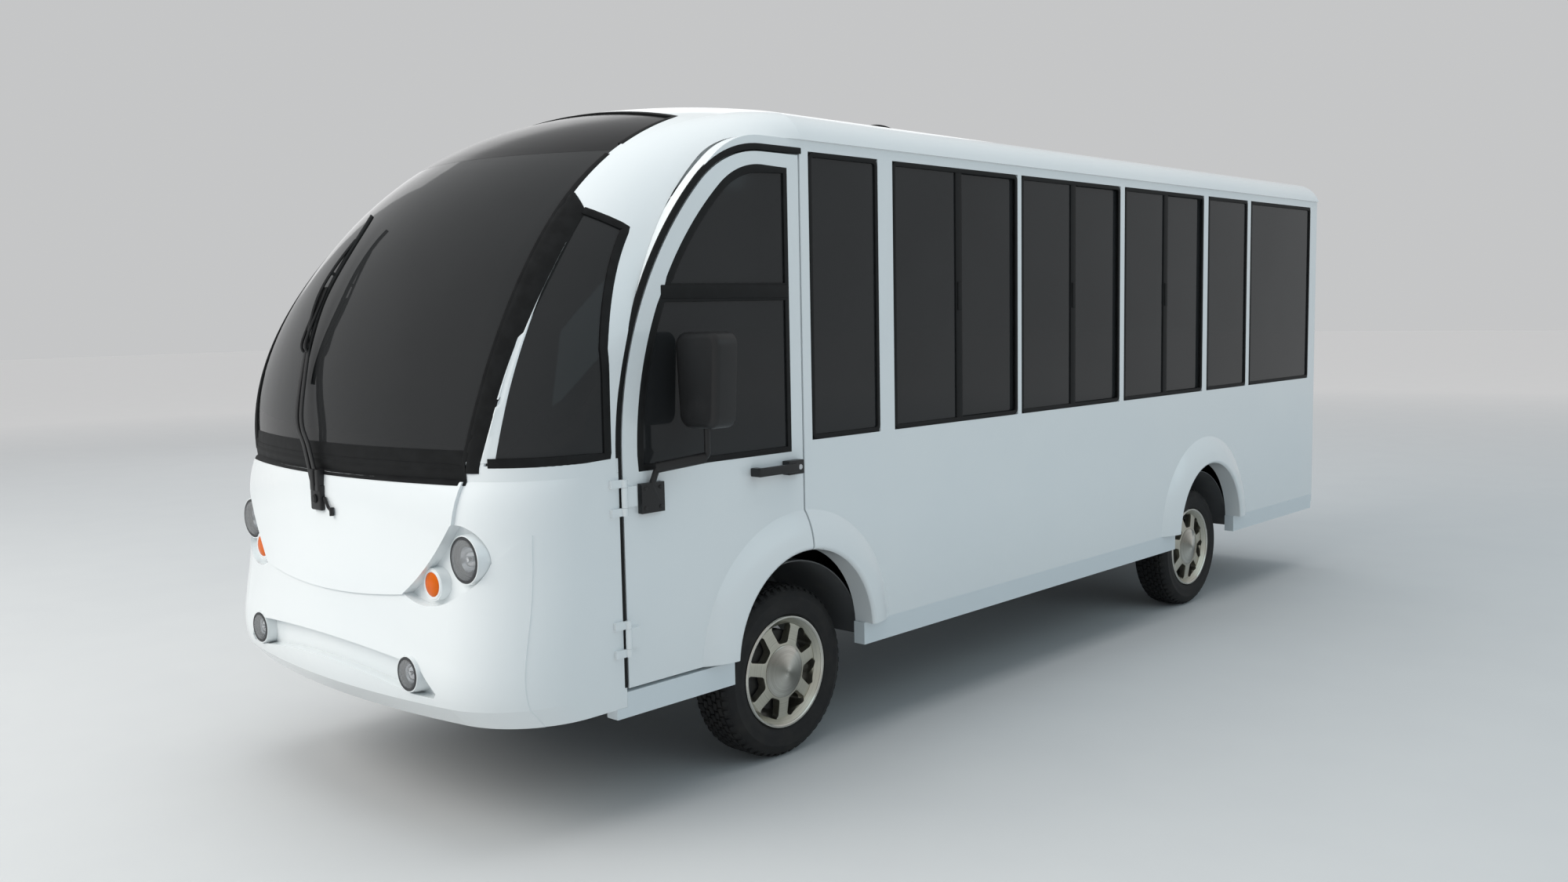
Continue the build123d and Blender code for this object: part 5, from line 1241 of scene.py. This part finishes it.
# %% [markdown]
# ## Handles and mirrors
# The pull handles and mirror housings are moulded plastic with soft edges. A lock barrel sits at the rear
# of each handle, and the mirror's glass lies in a shallow rim on the side that faces backwards. A thicker
# stay lies over the bend of the mirror's arm, and four screws hold the arm's foot.

# %% Handles, locks and mirror glass
def hit_side(mesh_node, side, y, z):
    """Outermost point of a node at a place of the side view."""
    tree = BVHTree.FromPolygons([v.co for v in NODES[mesh_node].data.vertices],
                                [p.vertices[:] for p in NODES[mesh_node].data.polygons])
    return tree.ray_cast(Vector((side * 2.0, y, z)), Vector((-side, 0, 0)))[0]


# Each profile: radius, distance out from the face
LOCK = [(0.0, -0.004), (0.0085, -0.004), (0.0085, 0.001), (0.0075, 0.002), (0.0055, 0.002), (0.005, 0.0012),
        (0.0, 0.0012)]
SCREW = [(0.0, -0.002), (0.006, -0.002), (0.006, 0.001), (0.004, 0.003), (0.0, 0.0035)]
MIRROR_X, MIRROR_Z, GLASS_TOP, GLASS_LOW, GLASS_HIGH = 0.900, 1.255, 0.076, 0.062, 0.118
STAY_KNEE, STAY_ELBOW, STAY_R = Vector((0.807, -2.089, 1.014)), Vector((0.900, -1.983, 1.039)), 0.0155
STAY_STEPS = (-0.02, 0.0, 0.04, 0.5, 0.93, 0.97)
FOOT_X, FOOT_Y, FOOT_Z, SCREW_OUT = 0.798, -2.098, 0.930, 0.028
HANDLES = [("door_handle_left", "front_door_left", 1), ("door_handle_right", "front_door_right", -1),
           ("entry_door_handle", "entry_leaf", -1)]
for node, body, side in HANDLES:
    piece(f"soft_{node}", softened(node, 0.004, 3), body, BLACK_PLASTIC, "black_plastic", [node])
    low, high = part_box(node)
    face = hit_side(node, side, high.y - 0.018, (low.z + high.z) / 2)
    bm = lathe(bmesh.new(), LOCK, face, (side, 0, 0), 32)
    piece(f"lock_{node}", bm, body, REFLECTOR, "alloy")


def mirror_glass(side_name, side):
    """Mirror pane: an outline that narrows downwards, slightly crowned."""
    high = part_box(f"mirror_{side_name}")[1]
    centre = Vector((side * MIRROR_X, high.y, MIRROR_Z))
    bm = bmesh.new()
    columns, rows = 16, 20
    sheets = []
    for lift in (0.0012, -0.0030):
        sheet = []
        for r in range(rows + 1):
            v = 2 * r / rows - 1
            half = (GLASS_LOW + (GLASS_TOP - GLASS_LOW) * (v + 1) / 2) * (1 - 0.30 * abs(v) ** 7)
            line = []
            for c in range(columns + 1):
                u = 2 * c / columns - 1
                rise = GLASS_HIGH * v * (1 - 0.05 * abs(u) ** 6)
                crowned = lift * (1 - 0.6 * u * u * v * v)
                line.append(bm.verts.new(centre + Vector((half * u, crowned, rise))))
            sheet.append(line)
        sheets.append(sheet)
    slab(bm, *sheets)
    piece(f"mirror_glass_{side_name}", bm, f"front_door_{side_name}", REFLECTOR, "alloy")


for side_name, side in SIDES.items():
    mirror_glass(side_name, side)
    body = f"front_door_{side_name}"
    knee, elbow = (Vector((side * point.x, point.y, point.z)) for point in (STAY_KNEE, STAY_ELBOW))
    bm = tube(bmesh.new(), [knee.lerp(elbow, t) for t in STAY_STEPS], STAY_R, 20)
    for y in (FOOT_Y - SCREW_OUT, FOOT_Y + SCREW_OUT):
        for z in (FOOT_Z - SCREW_OUT, FOOT_Z + SCREW_OUT):
            lathe(bm, SCREW, (side * FOOT_X, y, z), (side, 0, 0), 20)
    piece(f"mirror_stay_{side_name}", bm, body, BLACK_PLASTIC, "black_plastic")
    piece(f"soft_mirror_{side_name}", softened(f"mirror_{side_name}", 0.006, 3), body, BLACK_PLASTIC,
          "black_plastic", [f"mirror_{side_name}"])

# %% [markdown]
# ## Wiper
# One long wiper stands on the nose: a cast bracket, two flat arms that run side by side to a yoke, and a
# bowed blade with its rubber lip. The arms follow the screen, so their flat side faces outwards along the
# skin's normal.

# %% Bracket, arms, yoke and blade
WIPER_FOOT = Vector((0.0, -2.679, 0.930))
WIPER_ELBOW = Vector((-0.075, -2.686, 1.170))
WIPER_YOKE = Vector((-0.112, -2.628, 1.375))
BLADE_ENDS = [Vector((-0.120, -2.652, 1.260)), Vector((-0.097, -2.576, 1.505)),
              Vector((-0.080, -2.418, 1.750))]


PIN = [(0.0, 0.0), (0.013, 0.0), (0.013, 0.006), (0.009, 0.010), (0.0, 0.010)]
NOZZLE = [(0.022, 0.004, -0.010), (0.040, -0.002, 0.004), (0.052, -0.004, -0.006), (0.064, -0.004, -0.022),
          (0.078, -0.003, -0.030)]


def outward_line(points):
    """Points with the outward direction of the skin behind them."""
    return [(Vector(p), on_skin(p[0], p[2])[1]) for p in points]


def by_foot(x, y, z):
    return WIPER_FOOT + Vector((x, y, z))


def arm_path(shift):
    aside = Vector((shift, 0, 0))
    bend = WIPER_ELBOW.lerp(WIPER_FOOT, 0.4)
    foot = by_foot(shift * 1.2, -0.004, 0.02)
    return smooth_path([foot, bend + aside, WIPER_ELBOW + aside, WIPER_YOKE + aside * 0.6], 10)


strip("wiper_arms", [outward_line(arm_path(0.013)), outward_line(arm_path(-0.013))], "body", 0.018, 0.006,
      BLACK_PLASTIC, closed=False, replaces=["wiper"])
blade_path = smooth_path(BLADE_ENDS, 16)
strip("wiper_blade", [outward_line(blade_path)], "body", 0.010, 0.013, BLACK_PLASTIC, closed=False)
bm = bmesh.new()
rounded_box(bm, by_foot(-0.030, -0.010, -0.034), by_foot(0.030, 0.030, 0.040), 0.006)
rounded_box(bm, by_foot(-0.024, -0.013, 0.022), by_foot(-0.002, 0.010, 0.085), 0.004)
rounded_box(bm, by_foot(0.006, -0.013, 0.022), by_foot(0.026, 0.010, 0.085), 0.004)
lathe(bm, PIN, by_foot(0, -0.008, 0), (0, -1, 0), 24)
nozzle = [by_foot(*p) for p in NOZZLE]
tube(bm, smooth_path(nozzle, 6), 0.0045)
tube(bm, [nozzle[-1] + Vector((0.0, 0.0, 0.010)), nozzle[-1] + Vector((0.0, 0.0, -0.014))], 0.0065)
piece("wiper_bracket", bm, "body", BLACK_PLASTIC, "black_plastic")
bm = bmesh.new()
for shift in (-0.013, 0.013):
    joint = [WIPER_YOKE + Vector((shift, -0.006, -0.03)), WIPER_YOKE + Vector((shift * 0.8, -0.010, 0.01)),
             blade_path[18] + Vector((shift * 0.5, -0.012, 0.0))]
    tube(bm, smooth_path(joint, 6), 0.0045)
bow = [point + on_skin(point.x, point.z)[1] * (0.004 + 0.016 * math.sin(math.pi * n / 20))
       for n, point in enumerate(blade_path[6:27])]
tube(bm, bow, 0.0045)
for n in (0, 6, 14, 20):
    tube(bm, [bow[n], blade_path[6 + n]], 0.0055)
piece("wiper_yoke", bm, "body", BLACK_PLASTIC, "black_plastic")

# %% [markdown]
# ## Seats
# The cushions are foam under a sewn cover, so they bulge between their seams. One pad and one back are
# simulated: a block a little smaller than its space is remeshed, blown up as cloth for twenty frames, and
# held within that space. Two channels are then pressed in where a cover is stitched down. The shapes are
# carried to every place, a wide bench taking several side by side, and each stands on a boxed foot.

# %% Cushion simulation
PAD_TOP, PAD_THICK, PAD_DEPTH = 0.800, 0.110, 0.430
BACK_LOW_Z, BACK_TOP_Z, BACK_LOW, BACK_HIGH, BACK_LEAN = 0.788, 1.330, 0.090, 0.070, 0.070
SHRINK, VOXEL, SWELL_CAP, FRAMES, PLACE_WIDTH = 0.010, 0.010, 0.024, 20, 0.350
SHELL, SPARE = 0.014, 0.002

def blown_block(size):
    """Cushion in the box from the origin to size, as a mesh; Z is its thickness."""
    inset = Vector((SHRINK,) * 3)
    bm = rounded_box(bmesh.new(), inset, Vector(size) - inset, 0.022, 3)
    holder = placed("cushion_block", to_mesh(bm, "block"))
    remesh = holder.modifiers.new("remesh", "REMESH")
    remesh.mode, remesh.voxel_size = "VOXEL", VOXEL
    holder.data = evaluated(holder)
    holder.modifiers.clear()
    start = [v.co.copy() for v in holder.data.vertices]
    cloth = holder.modifiers.new("cloth", "CLOTH")
    cloth.settings.quality = 4
    cloth.settings.mass = 0.3
    cloth.settings.tension_stiffness = cloth.settings.compression_stiffness = 12.0
    cloth.settings.bending_stiffness = 0.4
    cloth.settings.use_pressure = True
    cloth.settings.uniform_pressure_force = 4.0
    cloth.settings.effector_weights.gravity = 0.0
    for step in range(1, FRAMES + 1):
        bpy.context.scene.frame_set(step)
    made = evaluated(holder)
    bpy.context.scene.frame_set(1)
    bpy.data.objects.remove(holder)
    points = []
    for vert, before in zip(made.vertices, start):
        moved = vert.co - before
        points.append(before + moved.normalized() * min(moved.length, SWELL_CAP))
    low, high = extent(points)
    for vert, point in zip(made.vertices, points):
        vert.co = [SPARE + (point[k] - low[k]) / (high[k] - low[k]) * (size[k] - 2 * SPARE)
                   for k in range(3)]
    return made


def stitched(mesh, lines, depth=0.013, width=0.016):
    """Presses channels across the cushion's upper side at places along Y."""
    top = max(v.co.z for v in mesh.vertices)
    for vert in mesh.vertices:
        if vert.co.z > top * 0.6:
            vert.co.z -= sum(depth * math.exp(-((vert.co.y - y) / width) ** 2) for y in lines)
    return mesh


BACK_SIZE = (PLACE_WIDTH, BACK_TOP_Z - BACK_LOW_Z, 0.080)
PAD_SHAPE = stitched(blown_block((PLACE_WIDTH, PAD_DEPTH - SHELL, PAD_THICK - SHELL)), [0.135, 0.285])
BACK_SHAPE = stitched(blown_block(BACK_SIZE), [0.19, 0.38])
print("cushion points", len(PAD_SHAPE.vertices), len(BACK_SHAPE.vertices))

# %% Cushions and feet in place
def seats_of(node):
    """Box of each seat and the box of its foot."""
    bm = merged(node)
    found = []
    for shell in shells(bm):
        points = [v.co for f in shell for v in f.verts]
        low, high = extent(points)
        foot_low, foot_high = extent([p for p in points if p.z < low.z + 0.001])
        foot_high.z = PAD_TOP - PAD_THICK
        found.append((low, high, foot_low, foot_high))
    bm.free()
    return sorted(found, key=lambda box: (box[0].y, box[0].x))


def carried(bm, shape, place):
    """Adds a copy of a cushion, each point put in place."""
    copy = shape.copy()
    for vert in copy.vertices:
        vert.co = place(vert.co)
    bm.from_mesh(copy)


def fill_seats(label, node):
    """Pads, backs and shells in the places of all seats of a node."""
    pads, backs, feet = bmesh.new(), bmesh.new(), bmesh.new()
    seat_z = PAD_TOP - PAD_THICK
    for low, high, foot_low, foot_high in seats_of(node):
        places = max(round((high.x - low.x) / PLACE_WIDTH), 1)
        wide = (high.x - low.x) / places
        front, rear = low.y, low.y + PAD_DEPTH
        for n in range(places):
            x0 = low.x + wide * n

            def pad_place(p):
                tuck = min(max((p.y - (PAD_DEPTH - BACK_LOW - 0.03)) / 0.03, 0.0), 1.0)
                z = p.z + SHELL - 0.016 * tuck * max(p.z / PAD_THICK - 0.5, 0.0) * 2
                return Vector((x0 + p.x * wide / PLACE_WIDTH, front + p.y, seat_z + z))

            def back_place(p):
                up = p.y / BACK_SIZE[1]
                behind = rear + BACK_LEAN * up
                thick = (BACK_LOW + (BACK_HIGH - BACK_LOW) * up - SHELL) * p.z / BACK_SIZE[2] + SHELL
                return Vector((x0 + p.x * wide / PLACE_WIDTH, behind - thick, BACK_LOW_Z + p.y))

            carried(pads, PAD_SHAPE, pad_place)
            carried(backs, BACK_SHAPE, back_place)
        rounded_box(feet, foot_low, foot_high + Vector((0, 0, 0.004)), 0.012)
        x0, x1 = low.x + 0.004, high.x - 0.004
        rounded_box(feet, (x0, front + 0.01, seat_z), (x1, rear, seat_z + SHELL), 0.005)
        rounded_box(feet, (x0, rear - SHELL, seat_z), (x1, rear, BACK_LOW_Z), 0.005)
        known = set(feet.verts)
        rounded_box(feet, (x0, rear - SHELL, BACK_LOW_Z - 0.012), (x1, rear, BACK_TOP_Z - 0.02), 0.005)
        for vert in set(feet.verts) - known:
            vert.co.y += BACK_LEAN * (vert.co.z - BACK_LOW_Z) / BACK_SIZE[1]
    for name, bm, stood_in in ((f"{label}_pads", pads, [node]), (f"{label}_backs", backs, ())):
        made = piece(name, bm, "body", LEATHERETTE, "seat_cover", stood_in)
    piece(f"{label}_shells", feet, "body", DASH_PLASTIC, "black_plastic")


fill_seats("front_seat", "front_seats")
fill_seats("bench", "passenger_seats")
